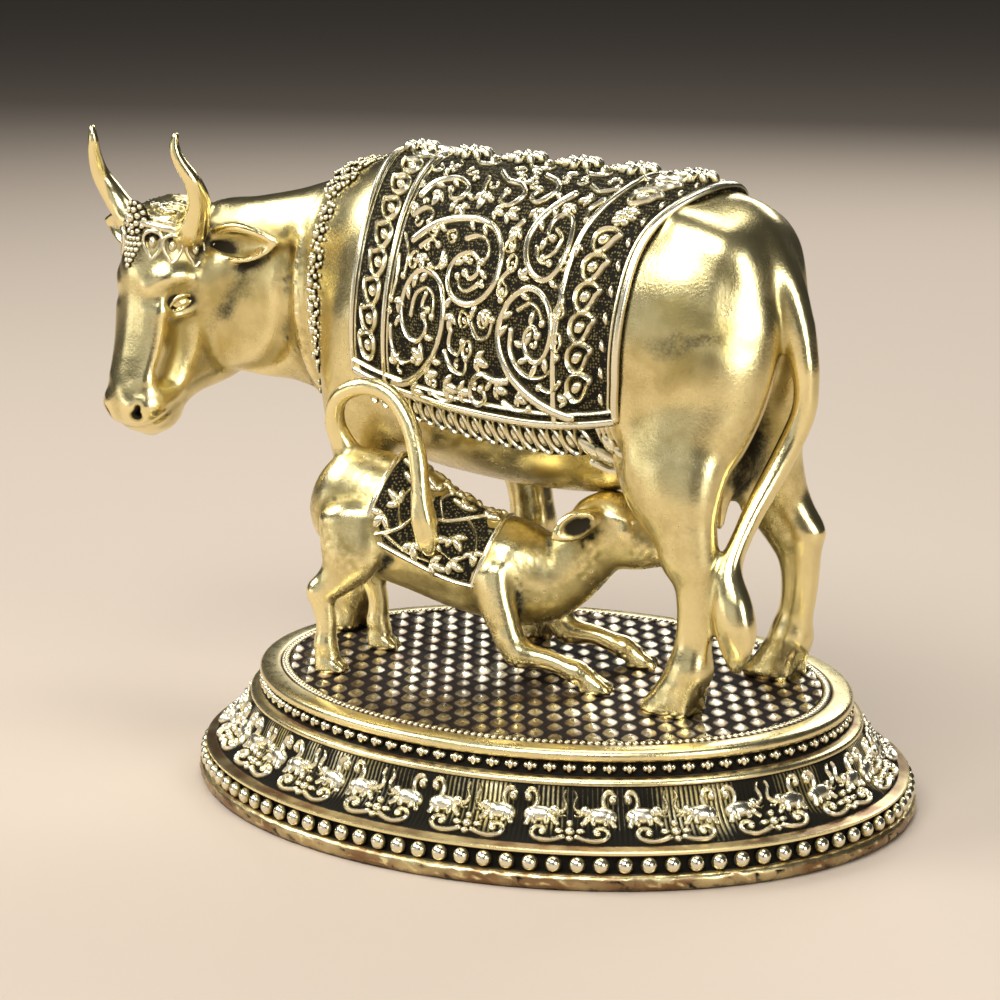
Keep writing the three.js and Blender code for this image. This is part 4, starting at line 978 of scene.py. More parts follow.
def finish(name, crest, body, hollow, dirt_and_shade, rub, stain, speck, gloss, tooth, pebble=0.0):
    """A finish of old brass; tooth is the depth of its fine grain in millimetres."""
    made = bpy.data.materials.new(name)
    made.use_nodes = True
    nodes, links = made.node_tree.nodes, made.node_tree.links
    shader = next(n for n in nodes if n.type == "BSDF_PRINCIPLED")
    patina = nodes.new("ShaderNodeGroup")
    patina.node_tree = bpy.data.node_groups["old_brass_patina"]
    mark = nodes.new("ShaderNodeAttribute")
    mark.attribute_name = "rise"
    links.new(mark.outputs["Fac"], patina.inputs["Rise"])
    for key, value in (("Crest", (*crest, 1)), ("Body", (*body, 1)), ("Hollow", (*hollow, 1)),
                       ("Dirt and shade", dirt_and_shade), ("Rub", rub), ("Stain", stain), ("Speck", speck),
                       ("Gloss", gloss), ("Pebble", pebble)):
        patina.inputs[key].default_value = value
    bump = nodes.new("ShaderNodeBump")
    bump.inputs["Strength"].default_value = 0.6
    bump.inputs["Distance"].default_value = tooth * 0.001
    links.new(patina.outputs["Height"], bump.inputs["Height"])
    for outlet, inlet in ((bump.outputs["Normal"], "Normal"), (patina.outputs["Colour"], "Base Color"),
                          (patina.outputs["Metal"], "Metallic"),
                          (patina.outputs["Roughness"], "Roughness")):
        links.new(outlet, shader.inputs[inlet])
    shader.inputs["Specular IOR Level"].default_value = 0.12
    return made


class BRASS_PG_finish(bpy.types.PropertyGroup):
    """Colours of the old brass."""

    crest: FloatVectorProperty(name="Crests", description="Brass rubbed bright", subtype="COLOR",
                               default=(0.93, 0.80, 0.42), min=0, max=1)
    body: FloatVectorProperty(name="Flats", description="Brass that has gone warm and dull",
                              subtype="COLOR", default=(0.46, 0.37, 0.14), min=0, max=1)
    hollow: FloatVectorProperty(name="Hollows", description="Dark patina in the recesses",
                                subtype="COLOR", default=(0.013, 0.011, 0.007), min=0, max=1)
    # the plinth flats' red-brown colour is a painted reflection of warm red-brown surroundings
    red: FloatVectorProperty(name="Plinth flats", description="Reddish-brown patina on the plinth",
                             subtype="COLOR", default=(0.26, 0.15, 0.07), min=0, max=1)


class BRASS_PG_plinth(bpy.types.PropertyGroup):
    """Counts and sizes of the plinth's ornament."""

    bead: FloatProperty(name="Foot bead", description="Radius of a bead round the foot",
                        default=0.00178, unit="LENGTH")
    pitch: FloatProperty(name="Foot bead pitch", description="From bead to bead round the foot",
                         default=0.00506, unit="LENGTH")
    knob: FloatProperty(name="Knob pitch", description="From knob to knob under the plate",
                        default=0.00425, unit="LENGTH")
    frieze: FloatProperty(name="Frieze repeat", description="Length of one pair of elephants",
                          default=0.0226, unit="LENGTH")
    weave: FloatProperty(name="Weave pitch", description="Width of one column of the plate's weave",
                         default=0.00407, unit="LENGTH")


class BRASS_PG_cow(bpy.types.PropertyGroup):
    """How finely the cow's body and head are worked, and her garland."""

    body: FloatProperty(name="Body grain", description="Spacing of the points on the body",
                        default=0.00088, unit="LENGTH", min=0.0004)
    head: FloatProperty(name="Head grain", description="Spacing of the points on the head",
                        default=0.00057, unit="LENGTH", min=0.0003)
    flowers: IntProperty(name="Garland flowers", description="Flowers round the neck", default=27,
                         min=8)


class BRASS_PG_cloth(bpy.types.PropertyGroup):
    """The cow's cloth and its fringe."""

    grain: FloatProperty(name="Relief grain", description="Spacing of the points on the cloth",
                         default=0.0006, unit="LENGTH", min=0.0002)
    thick: FloatProperty(name="Thickness", description="Cloth over the cow's skin", default=0.0012,
                         unit="LENGTH")
    drops: IntProperty(name="Fringe drops", description="Teardrops of the fringe on one side",
                       default=21, min=3)


class BRASS_PG_calf(bpy.types.PropertyGroup):
    """How finely the calf is worked."""

    body: FloatProperty(name="Body grain", description="Spacing of the points on the calf",
                        default=0.00064, unit="LENGTH", min=0.0004)


class BRASS_PG_stage(bpy.types.PropertyGroup):
    """Floor, lamps and camera."""

    floor: FloatVectorProperty(name="Floor", description="Colour of the floor", subtype="COLOR",
                               default=(0.56, 0.465, 0.37), min=0, max=1)
    lens: FloatProperty(name="Lens", description="Focal length of the camera", default=106.295, min=20)
    key: FloatProperty(name="Key lamp", description="Power of the large lamp", default=15.0, min=0)


def settings():
    """What the panel's boxes hold."""
    return bpy.context.scene.brass


def ripple(points, size, seed, count=24):
    """A smooth uneven value at each point, about -1.5 to 1.5, with lumps of a given size."""
    rng = np.random.default_rng(seed)
    way = unit(rng.normal(size=(count, 3))) * (2 * np.pi / size) * rng.uniform(0.6, 1.6, (count, 1))
    phase = rng.uniform(0, 2 * np.pi, count)
    return np.sin(np.asarray(points) @ way.T + phase).sum(1) / math.sqrt(count / 2)


def away(points, middle, half):
    """How far off points are from the middle of an oval lump, 1 on its skin."""
    return np.linalg.norm((points - middle) / half, axis=1)


class BRASS_OT_plinth_foot(bpy.types.Operator):
    """Oval foot: a ring drawn up through the profile of the plinth"""

    bl_idname = "brass.plinth_foot"
    bl_label = "Plinth foot"

    # Out from the plate's edge, up from the table, and how bright the brass is there.
    profile = [
        (13.9, 0, 0.2), (14.6, 0.4, 0.3), (15.05, 1.4, 0.5), (15.1, 2.4, 0.45), (14.9, 3.1, 0.75),
        (14.2, 3.6, 0.7), (13.1, 3.7, 0.05), (12.4, 4.1, 0), (12.2, 5.6, 0), (12.4, 7.0, 0),
        (13.0, 7.4, 0.3), (13.5, 7.7, 0.9), (13.5, 8.25, 0.9), (13.0, 8.55, 0.6), (11.3, 8.75, 0.5),
        (10.9, 9.0, 0.1), (8.6, 9.8, 0.05), (6.0, 11.8, 0.05), (4.2, 14.6, 0.05), (2.4, 18.4, 0.05),
        (2.3, 19.3, 0.1), (2.7, 19.5, 0.7), (2.75, 20.1, 0.9), (2.3, 20.6, 0.9), (1.2, 20.8, 0.6),
        (-0.2, 20.9, 0.05), (-1.2, 21.4, 0), (-1.5, 22.4, 0), (-1.2, 23.4, 0), (-0.4, 23.9, 0.1),
        (0.1, 24.2, 0.7), (0.42, 24.8, 0.95), (0.3, 25.7, 0.95), (-0.2, 26.25, 0.95), (-1.0, 26.5, 0.9),
        (-3.9, 26.55, 0.8), (-4.4, 26.5, 0.7), (-4.7, 26.2, 0.05), (-8.0, 26.1, 0.05),
    ]

    def execute(self, context):
        sides = 300
        nothing()
        bpy.ops.mesh.primitive_circle_add(vertices=sides, radius=1, fill_type="NOTHING")
        body = context.active_object
        body.name = "plinth_foot"
        bpy.ops.object.mode_set(mode="EDIT")
        bpy.ops.mesh.select_all(action="SELECT")
        out, up, _ = self.profile[0]
        bpy.ops.transform.resize(value=((PLATE_A + out) / 1000, (PLATE_B + out) / 1000, 1))
        bpy.ops.transform.translate(value=(0, 0, up / 1000))
        for new_out, new_up, _ in self.profile[1:]:
            lift = (0, 0, (new_up - up) / 1000)
            bpy.ops.mesh.extrude_region_move(TRANSFORM_OT_translate={"value": lift})
            wide = (PLATE_A + new_out) / (PLATE_A + out)
            deep = (PLATE_B + new_out) / (PLATE_B + out)
            bpy.ops.transform.resize(value=(wide, deep, 1))
            out, up = new_out, new_up
        bpy.ops.mesh.select_all(action="SELECT")
        bpy.ops.mesh.fill_holes(sides=0)
        bpy.ops.mesh.select_all(action="SELECT")
        bpy.ops.mesh.normals_make_consistent(inside=False)
        bpy.ops.object.mode_set(mode="OBJECT")
        mesh = body.data
        points = np.array([v.co for v in mesh.vertices]) * 1000
        heights = np.array([row[1] for row in self.profile])
        outs = np.array([row[0] for row in self.profile])
        t = np.arctan2(points[:, 1] / PLATE_B, points[:, 0] / PLATE_A)
        out = np.hypot(points[:, 0], points[:, 1]) - np.hypot(PLATE_A * np.cos(t), PLATE_B * np.sin(t))
        row = np.argmin(np.abs(points[:, 2:3] - heights) + 0.3 * np.abs(out[:, None] - outs), 1)
        rise = np.array([r[2] for r in self.profile])[row]
        # the cast slab under the beads is rough, with a ragged upper lip
        rough = np.clip(1 - np.abs(points[:, 2] - 2.0) / 1.9, 0, 1)
        level = oval_out(t)
        dent = 0.16 * ripple(points, 5, 3) + 0.13 * ripple(points, 2.1, 4)
        points += level * (rough * np.minimum(dent, 0.15))[:, None]
        points[:, 2] += np.where(rough > 0, rough * 0.2 * ripple(points, 3.2, 5), 0)
        rise = np.clip(rise + rough * 0.25 * ripple(points, 2.6, 6), 0, 1)
        mesh.vertices.foreach_set("co", (points * 0.001).ravel())
        finished(body, "plinth_brass", rise, "plinth", angle=50)
        return {"FINISHED"}


class BRASS_OT_plinth_beads(bpy.types.Operator):
    """Round beads along the foot, three-lobed knobs under the plate and seeds round the weave"""

    bl_idname = "brass.plinth_beads"
    bl_label = "Plinth beads and knobs"

    def execute(self, context):
        given = settings().plinth
        pattern, rise = dome(12, 8, 0.92)
        count = round(oval_length(13) / (given.pitch * 1000))
        places = frames(evenly(count, 13), 13.35, 5.55, 8, given.bead * 1000)
        cast_copies("plinth_beads", pattern, places, "bead_brass", rise)
        # one knob: a tall middle lobe between two low ones
        pattern, rise = dome(7, 5, 0.92)
        points, faces = pattern
        lobes = []
        for shift, wide, tall, proud in ((0, 0.62, 1.0, 0.5), (-0.72, 0.5, 0.72, 0.1),
                                         (0.72, 0.5, 0.72, 0.1)):
            lobes.append(points * (wide, tall, 0.9) + (shift, 0, proud - 0.3))
        n = len(points)
        knob = (np.concatenate(lobes), [[v + k * n for v in f] for k in range(3) for f in faces])
        count = round(oval_length(-0.6) / (given.knob * 1000))
        places = frames(evenly(count, -0.6), -0.75, 22.45, 0, 1.32)
        cast_copies("plinth_knobs", knob, places, "bead_brass", np.tile(rise, 3))
        # seeds lie level, pointing at the middle of the plate
        small, rise = dome(7, 5, 0.62)
        seed = (small[0] * (0.8, 1.1, 1), small[1])
        places = frames(evenly(236, -5.6), -5.75, 26.35, 90, 1.0)
        cast_copies("plate_seeds", seed, places, "plate_brass", rise)
        return {"FINISHED"}


class BRASS_OT_frieze(bpy.types.Operator):
    """Frieze of paired elephants, heart scrolls and four-petal flowers round the foot"""

    bl_idname = "brass.frieze"
    bl_label = "Elephant frieze"

    def one_repeat(self, pitch):
        """One repeat: x runs round the foot and y up the frieze."""
        plan = Relief((-pitch / 2, 0), (pitch / 2, FRIEZE_HIGH), 0.6)
        half = pitch / 2
        for side in (-1, 1):
            def at(a, b):
                return side * a, b
            # two curls that rise from the rumps of the elephants and turn in over a heart
            plan.stroke([at(1.9, 7.2), at(3.3, 9.0), at(3.9, 10.7), at(3.3, 12.2), at(1.9, 12.5),
                         at(1.1, 11.5)],
                        0.75, 1.3, 0.8)
            plan.bead(at(1.7, 11.0), 1.0, 1.6)
            # elephant: body, rump, head, ear, raised trunk, tusk and legs
            plan.leaf(at(4.5, 7.8), 0, 7.2, 3.9, 1.6, 0.6, 0.0)
            plan.bead(at(2.6, 7.5), 1.95, 1.5)
            plan.bead(at(7.7, 8.6), 1.3, 1.6)
            plan.leaf(at(6.8, 8.2), 75 if side > 0 else 105, 2.5, 1.6, 1.85, 1.0, 0.2)
            plan.stroke([at(8.3, 8.6), at(9.4, 8.5), at(10.2, 9.4), at(10.0, 10.6), at(9.5, 11.6),
                         at(10.1, 12.6)],
                        0.72, 1.35, 0.6)
            plan.stroke([at(8.3, 8.0), at(9.2, 7.3), at(10.1, 7.6)], 0.42, 1.1, 0.7)
            for foot, top, low in ((1.6, 2.3, 5.0), (3.4, 3.4, 5.5), (6.2, 5.9, 5.6), (8.6, 7.3, 5.5)):
                plan.stroke([at(top, 7.0), at((foot + top) / 2, 6.0), at(foot, low)], 0.8, 1.35, 0.85)
            # scroll from the flower out and back over itself
            plan.stroke([at(half - 1.3, 2.3), at(half - 3.2, 1.5), at(half - 5.6, 1.2),
                         at(half - 7.5, 1.9), at(half - 8.1, 3.3), at(half - 7.2, 4.5),
                         at(half - 5.8, 4.5), at(half - 5.2, 3.6)], 0.78, 1.5, 0.8)
            plan.bead(at(half - 5.7, 3.3), 0.95, 1.6)
            plan.leaf(at(half - 2.3, 3.8), 0, 2.3, 1.6, 1.4, 0.9, 0.0)
        # the flower at the end of the repeat
        for up, size in ((5.7, 0.95), (1.7, 0.95), (3.75, 1.2)):
            plan.bead((half, up), size, 1.6)
        return plan

    def execute(self, context):
        repeats = round(oval_length(FRIEZE_OUT) / (settings().plinth.frieze * 1000))
        pitch = oval_length(FRIEZE_OUT) / repeats
        plan = self.one_repeat(pitch)
        length = pitch * repeats
        fine = evenly(4000, FRIEZE_OUT)

        def place(x, y, lift):
            """A place on the hollow band: along it, up it and off it."""
            steps = length * np.arange(4001) / 4000
            t = np.interp(np.mod(x, length), steps, np.append(fine, 2 * np.pi))
            h = y / FRIEZE_HIGH
            sag = np.sin(np.pi * h)
            lean = oval_out(t) * 0.75 + np.array([0, 0, 0.66])
            face = oval(t, 11 - 8.4 * h - 0.9 * sag, 8.8 + 10.4 * h - 1.1 * sag)
            return face + lean * (lift - 0.05)[..., None]

        columns, rows = FRIEZE_RIBS * 4 * repeats, 12
        x = length * np.arange(columns)[:, None] / columns
        y = np.linspace(0, FRIEZE_HIGH, rows)[None, :]
        x, y = np.broadcast_arrays(x, y)
        ridge = np.abs(np.sin(np.pi * x / (pitch / FRIEZE_RIBS)))
        height = (0.05 + 0.3 * ridge) * np.clip((FRIEZE_HIGH - y) / 0.8, 0, 1) * np.clip(y / 0.7, 0, 1)
        face = place(x, y, height)
        rise = 0.02 + 0.3 * ridge * np.clip(y / 5, 0.3, 1)
        t = evenly(columns, FRIEZE_OUT)
        wear = 0.1 * ripple(oval(t, FRIEZE_OUT, 0.0), 14, 21)[:, None]
        n, rows = height.shape
        points = face.reshape(-1, 3)
        quads = grid_faces(n, rows, ring=True)
        # the back runs straight from the sunk foot of the band to its sunk top
        foot = oval(t, 9.6, 8.4)
        top = oval(t, 1.2, 19.3)
        points = np.concatenate([points, foot, top])
        a, b = np.arange(n), (np.arange(n) + 1) % n
        m = n * rows
        low = np.stack([m + a, m + b, b * rows, a * rows], 1)
        high = np.stack([a * rows + rows - 1, b * rows + rows - 1, m + n + b, m + n + a], 1)
        back = np.stack([m + b, m + a, m + n + a, m + n + b], 1)
        faces = facing_out(points, [quads, low, high, back])
        shells = [(points, faces, np.clip(rise + wear, 0, 1).ravel())]
        for k in range(repeats):
            shells.append(plan.laid(lambda x, y, lift: place(x + (k + 0.5) * pitch, y, lift)))
        points, faces, rise = together(shells)
        cast("plinth_frieze", points, faces, "frieze_brass", rise, angle=65)
        return {"FINISHED"}


class BRASS_OT_plate(bpy.types.Operator):
    """Weave of pointed leaves over the plate"""

    bl_idname = "brass.plate"
    bl_label = "Woven plate"

    def execute(self, context):
        count = 234
        s = np.linspace(-1, 1, count)
        u, v = s[:, None], s[None, :]
        a, b = PLATE_A - WEAVE_INSET, PLATE_B - WEAVE_INSET
        x = a * u * np.sqrt(1 - v * v / 2)
        y = b * v * np.sqrt(1 - u * u / 2)
        pitch = settings().plinth.weave * 1000
        c, s = turned(39)
        across, way = x * c + y * s, -x * s + y * c
        column = np.round(across / pitch)
        step = pitch * 1.97
        shift = way - (column % 2) * step / 2
        cell = np.round(shift / step)
        p = (shift - cell * step) / (step * 0.47)
        q = (across - column * pitch) / (pitch * 0.5)
        body = np.clip(1 - np.abs(p) ** 1.5 - np.abs(q) ** 1.6, 0, 1)
        rib = np.exp(-(q / 0.22) ** 2) * np.clip(1 - np.abs(p) ** 2, 0, 1)
        near = np.clip(0.5 + 0.5 * p, 0, 1)
        height = 1.05 * body ** 0.45 * (0.34 + 0.66 * near) + 0.14 * rib
        flat = np.stack([x, y, 0 * x], -1).reshape(-1, 3)
        worn = ripple(flat, 26, 31).reshape(x.shape)
        height = height + 0.05 * ripple(flat, 1.6, 32).reshape(x.shape)
        height *= 0.86 + 0.1 * np.clip(worn, -1, 1)
        rise = np.clip(0.06 + 0.85 * body ** 0.5 * (0.4 + 0.75 * near) + 0.15 * rib + 0.08 * worn, 0, 1)
        points = np.stack([x, y, 26.2 + height], -1).reshape(-1, 3)
        quads = grid_faces(count, count)
        edge = edge_of(count, count)
        sunk = points[edge] * (1, 1, 0) + (0, 0, 25.8)
        points, faces = lined(points, quads, edge, sunk, (0, 0, 25.6))
        cast("plate_weave", points, faces, "plate_brass", rise.ravel(), angle=70)
        return {"FINISHED"}


# The cow's lump of clay: the same shapes are worked for the body and, more finely, for the head.

def work_trunk(clay):
    """Barrel and neck, rounded into one another."""
    zero = cow_point(0, 0, 0)
    up, side = (0, 0, 1), (0, 1, 0)
    clay.stack([[x, z, 0, h, w] for x, z, h, w in TRUNK], zero, 0, 1, (up, side), 0)
    clay.stack([[-x, z, y, deep, wide] for x, y, z, deep, wide in NECK], zero, 0, -1, (up, side), 5)


def work_body(clay):
    """Legs, udder, tail and the muscles of the body."""
    along_x = (1, 0, 0)
    for table in (HIND_LEFT, HIND_RIGHT):
        clay.rod(table[:8], along_x, blend=4.5, steps=9)
    for table in (FORE_LEFT, FORE_RIGHT):
        clay.rod(table[:6], along_x, blend=4.5, steps=9)
    clay.rod([[27, -17, 72, 3, 5], [31, -19, 62, 3.4, 4], [33, -18, 55, 3, 4]], along_x, blend=5)
    for side in (-1, 1):
        # hip, point of the buttock, brisket
        clay.rod([[38, side * 12, 107, 3, 3], [46, side * 10, 103, 3, 3], [53, side * 6, 97, 2.4, 2.4]],
                 blend=6)
        clay.rod([[-62, side * 10, 76, 5, 4], [-66, side * 7, 68, 5, 4], [-64, side * 4, 60, 4, 3]],
                 blend=5)
        clay.rod([[44, side * 6, 99, 8, 6.5], [48.6, side * 6.4, 89, 9.6, 7],
                  [49.8, side * 7, 79, 9.4, 7], [49, side * 9, 70, 8.6, 7],
                  [47.6, side * 12, 61, 6.8, 6.2]], along_x, blend=4, steps=9)
    clay.rod([[30, 0, 54, 8, 10], [37, 0, 51, 8.5, 10.5], [42, 0, 53, 6.5, 8]], blend=4)
    for table in (HIND_LEFT, HIND_RIGHT):
        clay.rod(table[6:], along_x, blend=1.6)
    for table in (FORE_LEFT, FORE_RIGHT):
        clay.rod(table[4:], along_x, blend=1.6)
    for x, y in ((33, -5.5), (33, 5.5), (44.5, -5), (44.5, 5)):
        clay.rod([[x, y, 47, 2.6, 2.6], [x, y * 1.05, 43, 1.9, 1.9], [x, y * 1.1, 38.8, 1.5, 1.5]],
                 along_x, blend=1.8)
    for x, y, z, deep, wide in ((45, -19.5, 34.5, 5.6, 4.9), (50.6, 19.4, 35.4, 4.4, 4.2),
                                (-59.2, -9.6, 28.5, 5.5, 5.1), (-23.6, 13.6, 28.5, 5.5, 5.0),
                                (47.3, -19.7, 10.6, 4.9, 5.1), (47.6, 20.1, 10.6, 4.9, 5),
                                (-62.2, -8.2, 10.8, 4.9, 4.8), (-21.8, 13, 10.8, 4.9, 4.7)):
        clay.ball(cow_point(x, y, z), (deep, wide), along_x, 2.2)
    clay.rod([[51, 19.3, 37, 3.4, 2.6], [54.8, 19.3, 35.2, 2, 1.8]], blend=2)
    # cords down the back of each cannon, and the dew claws
    for x, y in ((50.8, -19.6), (52.2, 19.7)):
        clay.rod([[x - 0.8, y, 34, 1.5, 1.6], [x + 0.3, y, 24, 1.5, 1.6], [x - 0.6, y, 14, 1.5, 1.8]],
                 blend=1.6)
    for x, y in ((50.6, -19.8), (51.0, 20.2), (-58.2, -8.2), (-18.2, 13)):
        for side in (-1, 1):
            clay.ball(cow_point(x, y + side * 2.3, 9.4), (1.7, 1.25), blend=0.9)
    for x, y, size in ((43, -20.4, 1), (43, 20.4, 1), (-66, -8, 0.95), (-25, 13, 0.95)):
        for side in (-1, 1):
            rows = [[-1, 0.3, side * 3.05, 7.0, 3.35], [0, 0.3, side * 3.05, 7.0, 3.35],
                    [2.4, -0.2, side * 2.9, 6.4, 3.2], [5.2, -1.2, side * 2.5, 5.2, 2.9],
                    [8, -2.4, side * 2, 3.8, 2.5], [9.8, -2.6, side * 1, 1.2, 1.2]]
            rows = [[v * size for v in row] for row in rows]
            clay.stack(rows, cow_point(x, y, 0), 2, 1, ((-1, 0, 0), (0, -1, 0)), 1.8)
        clay.rod([[x - 8, y, 1.4, 0.9, 0.5], [x - 3, y, 5.4, 0.9, 0.5]], along_x, blend=0.6, carve=True)
    # a fold from the flank to the stifle on each side
    clay.rod([[24, -27, 74, 1.1, 1.1], [28, -26, 64, 1.3, 1.3], [30, -21.5, 55, 1.1, 1.1]], blend=3,
             carve=True)
    clay.rod([[24, 27, 74, 1.1, 1.1], [28, 25, 64, 1.3, 1.3], [30, 20.5, 55, 1.1, 1.1]], blend=3,
             carve=True)
    clay.rod(TAIL[:5], along_x, blend=2.2)
    clay.rod(TAIL[3:12], along_x, blend=0.8)
    clay.rod(TAIL[10:], along_x, blend=0.8)
    # locks of the tail's tuft
    for k in range(7):
        a = 2 * math.pi * k / 7
        rows = []
        for x, y, z, deep, wide in TAIL[10:]:
            b = a + (32 - z) * 0.05
            rows.append([x + 0.82 * deep * math.cos(b), y + 0.82 * wide * math.sin(b), z,
                         0.22 * deep + 0.35, 0.22 * deep + 0.35])
        clay.rod(rows, blend=0.5)


def head_rows(rows, side):
    """Rows of a rod on the head, for its left or its right side."""
    return [[f, side * l, u, a, b] for f, l, u, a, b in rows]


def skin_rod(clay, rows, side, blend, carve=False):
    """A rod laid on the head's skin: rows of degrees, height, lift and radius."""
    angle, up, lift, size = (np.array(v, float) for v in zip(*rows))
    spots = head_skin(side * angle, up, lift)
    local = (spots - HEAD_ORIGIN) @ HEAD_AXES
    clay.rod(np.column_stack([local, size, size]), HEAD_FORWARD, head_point, blend, 4, carve)


def work_head(clay):
    """Skull, muzzle, eyes, ears and horns, and the folds of the neck."""
    clay.stack([[d, f, 0, deep, wide] for d, f, deep, wide in HEAD], HEAD_ORIGIN, 2, -1,
               (HEAD_FORWARD, HEAD_LEFT), 2.2, square=2.2)
    for side in (-1, 1):
        # loose skin down the neck: one deep fold and a faint one before it
        for first, last, start, stop, size, proud in ((2.15, 1.9, 58, 168, 1.9, 0.35),
                                                      (1.75, 1.7, 66, 150, 1.3, 0.7)):
            a = np.linspace(start, stop, 8)
            spots = neck_skin(np.linspace(first, last, 8), side * a, -size * proud)
            wide = size * np.sin(np.linspace(0.3, 2.8, 8))
            clay.rod(np.column_stack([spots - cow_point(0, 0, 0), wide, wide]), blend=1.6)
        # cheek: a broad smooth disc over the throat, with the line of the jaw round its back
        facing = np.array([0.62, side * 0.78, 0.0])
        clay.ball(neck_skin(4.15, side * 84, 0.0) - 6.6 * facing + (0, 0, 1.0), (8.8, 13.6), facing,
                  1.6)
        clay.rod(head_rows([[-2, 3.4, -41, 4.0, 4.0], [-14, 4.6, -37, 5.2, 5.2],
                            [-25, 5.0, -31, 5.6, 5.6]], side),
                 (0, 0, 1), head_point, 3.5)
        line = np.array([(2.62, 50), (2.55, 75), (2.6, 100), (2.9, 122), (3.5, 142), (4.3, 158)])
        spots = neck_skin(line[:, 0], side * line[:, 1], 1.7) - cow_point(0, 0, 0)
        clay.rod(np.column_stack([spots, np.array([[0.8, 2.4, 3.0, 3.0, 2.6, 1.8]] * 2).T]), blend=1.4,
                 carve=True)
        # ridges beside the flat of the face, and the hollow under the eye
        skin_rod(clay, [(34, -23, -1.7, 2.2), (36, -31, -1.6, 2.0), (36, -39, -1.6, 1.8)], side, 4.5)
        skin_rod(clay, [(56, -26, 1.3, 2.0), (60, -32, 1.5, 2.2), (62, -38, 1.6, 1.8)], side, 4.5, True)
        # socket and brow
        clay.ball(head_skin(side * 51.5, -20.4, 0.6), (1.5, 2.8), (0, 0, 1), 1.6, True)
        skin_rod(clay, [(28, -16.4, -1.0, 1.4), (40, -14.4, -0.6, 1.9), (54, -14.0, -0.6, 1.9),
                        (68, -15.6, -0.9, 1.4)],
                 side, 3.2)
        skin_rod(clay, [(50, -24.0, -0.2, 0.5), (57, -23.4, -0.2, 0.55), (65, -21.6, -0.3, 0.4)], side,
                 1.4)
        # muzzle pad, nostril and mouth
        clay.ball(head_point(10.2, side * 4.4, -46.2), (4.0, 5.0), (0, 0, 1), 3.0)
        clay.rod([[11.4, side * 4.4, -47.4, 0.9, 0.9], [15.6, side * 6.2, -48.0, 1.25, 1.35]],
                 place=head_point, blend=0.7, carve=True)
        clay.rod([[11.4, side * 5.0, -46.2, 0.5, 0.5], [15.8, side * 7.0, -45.4, 0.7, 0.7]],
                 place=head_point, blend=0.6, carve=True)
        skin_rod(clay, [(0, -51.6, 0.1, 0.35), (30, -51.2, 0.2, 0.35), (62, -49.6, 0.3, 0.4),
                        (92, -47.2, 0.3, 0.4), (118, -45.2, 0.2, 0.3)], side, 0.6, True)
        # horns with a ring at the root, ears with a rolled rim
        clay.rod(head_rows(HORN, side), HEAD_FORWARD, head_point, 1.4, 5)
        clay.rod(head_rows([[-0.3, 10.4, -3.2, 3.9, 3.9], [0.2, 12.2, -1.8, 3.8, 3.8]], side),
                 HEAD_FORWARD, head_point, 1.2)
        clay.rod(head_rows(EAR, side), (0, 0, 1), head_point, 1.6, 5)
        clay.rod(head_rows(EAR_HOLLOW, side), (0, 0, 1), head_point, 0.8, 5, True)
        clay.rod(head_rows([[-5.6, 12, -3.8, 1.1, 1.1], [-5.8, 18, -2.0, 1.35, 1.35],
                            [-6.4, 24, -1.9, 1.3, 1.3], [-7.4, 30, -3.2, 1.0, 1.0],
                            [-8.2, 33.4, -4.6, 0.6, 0.6]], side), (0, 0, 1), head_point, 0.8)
        clay.rod(head_rows([[-5.4, 13.4, -8.4, 0.7, 0.7], [-5.6, 19.5, -9.8, 0.8, 0.8],
                            [-6.3, 25, -9.4, 0.75, 0.75], [-7.6, 30.4, -7.2, 0.65, 0.65],
                            [-8.2, 33.2, -5, 0.5, 0.5]], side), (0, 0, 1), head_point, 0.7)


def sculpt_piece(clay, name, finish_name, node, reach=1.3, gain=0.9, rough=None):
    """Takes the skin off a lump and casts it as a piece."""
    points, quads = clay.skin()
    rise = clay.rise(points, reach, gain)
    if rough is not None:
        way, _ = clay.out_of(points)
        lift, shade = rough(points)
        points = points + way * lift[:, None]
        rise = np.clip(rise + shade, 0, 1)
    cast(name, points, [quads], finish_name, rise, node)


class BRASS_OT_cow_body(bpy.types.Operator):
    """The cow's barrel, legs, udder and tail, worked as one lump"""

    bl_idname = "brass.cow_body"
    bl_label = "Cow's body"

    def execute(self, context):
        pitch = settings().cow.body * 1000
        clay = Clay(cow_point(-77, -36, -1.2), cow_point(68, 34, 118), pitch)
        work_trunk(clay)
        work_body(clay)
        x = clay.low[0] + clay.pitch * np.arange(clay.count[0])
        high = (clay.low[2] + clay.pitch * np.arange(clay.count[2])) > DECK + 46
        clay.soften(3)
        seam = np.where(high[None, None, :], (NECK_SEAM - 0.2 - x)[:, None, None], -9)
        clay.field = np.maximum(clay.field, seam.astype(np.float32))
        clay.cut(2, DECK - 0.25, True)

        def rough(points):
            up = points[:, 2] - DECK
            low = np.clip(1 - up / 14, 0, 1)
            under = np.clip((52 - up) / 20, 0, 1) * (np.abs(points[:, 1] - COW_Y) < 15)
            pits = np.maximum(low, 0.4 * under)
            lift = pits * 0.07 * ripple(points, 2.0, 41)
            # painted shade between the thighs and round the udder
            near = away(points, cow_point(47, 0, 55), (10, 9, 17))
            shade = pits * (0.1 * ripple(points, 3.0, 42) - 0.06) - 0.4 * np.clip(1.3 - near, 0, 1)
            # painted dark reflection on the hips, partly a faint grey film, with an uneven edge
            for side in (-1, 1):
                near = away(points, (44.5, COW_Y + side * HIP_REFLECTION_OUT, 109.5), (10, 12, 9))
                shade -= 0.31 * np.clip((1.25 - near + 0.1 * ripple(points, 9, 43)) / 0.8, 0, 1)
            return lift, shade

        sculpt_piece(clay, "cow_body", "polished_brass", "cow", rough=rough)
        return {"FINISHED"}


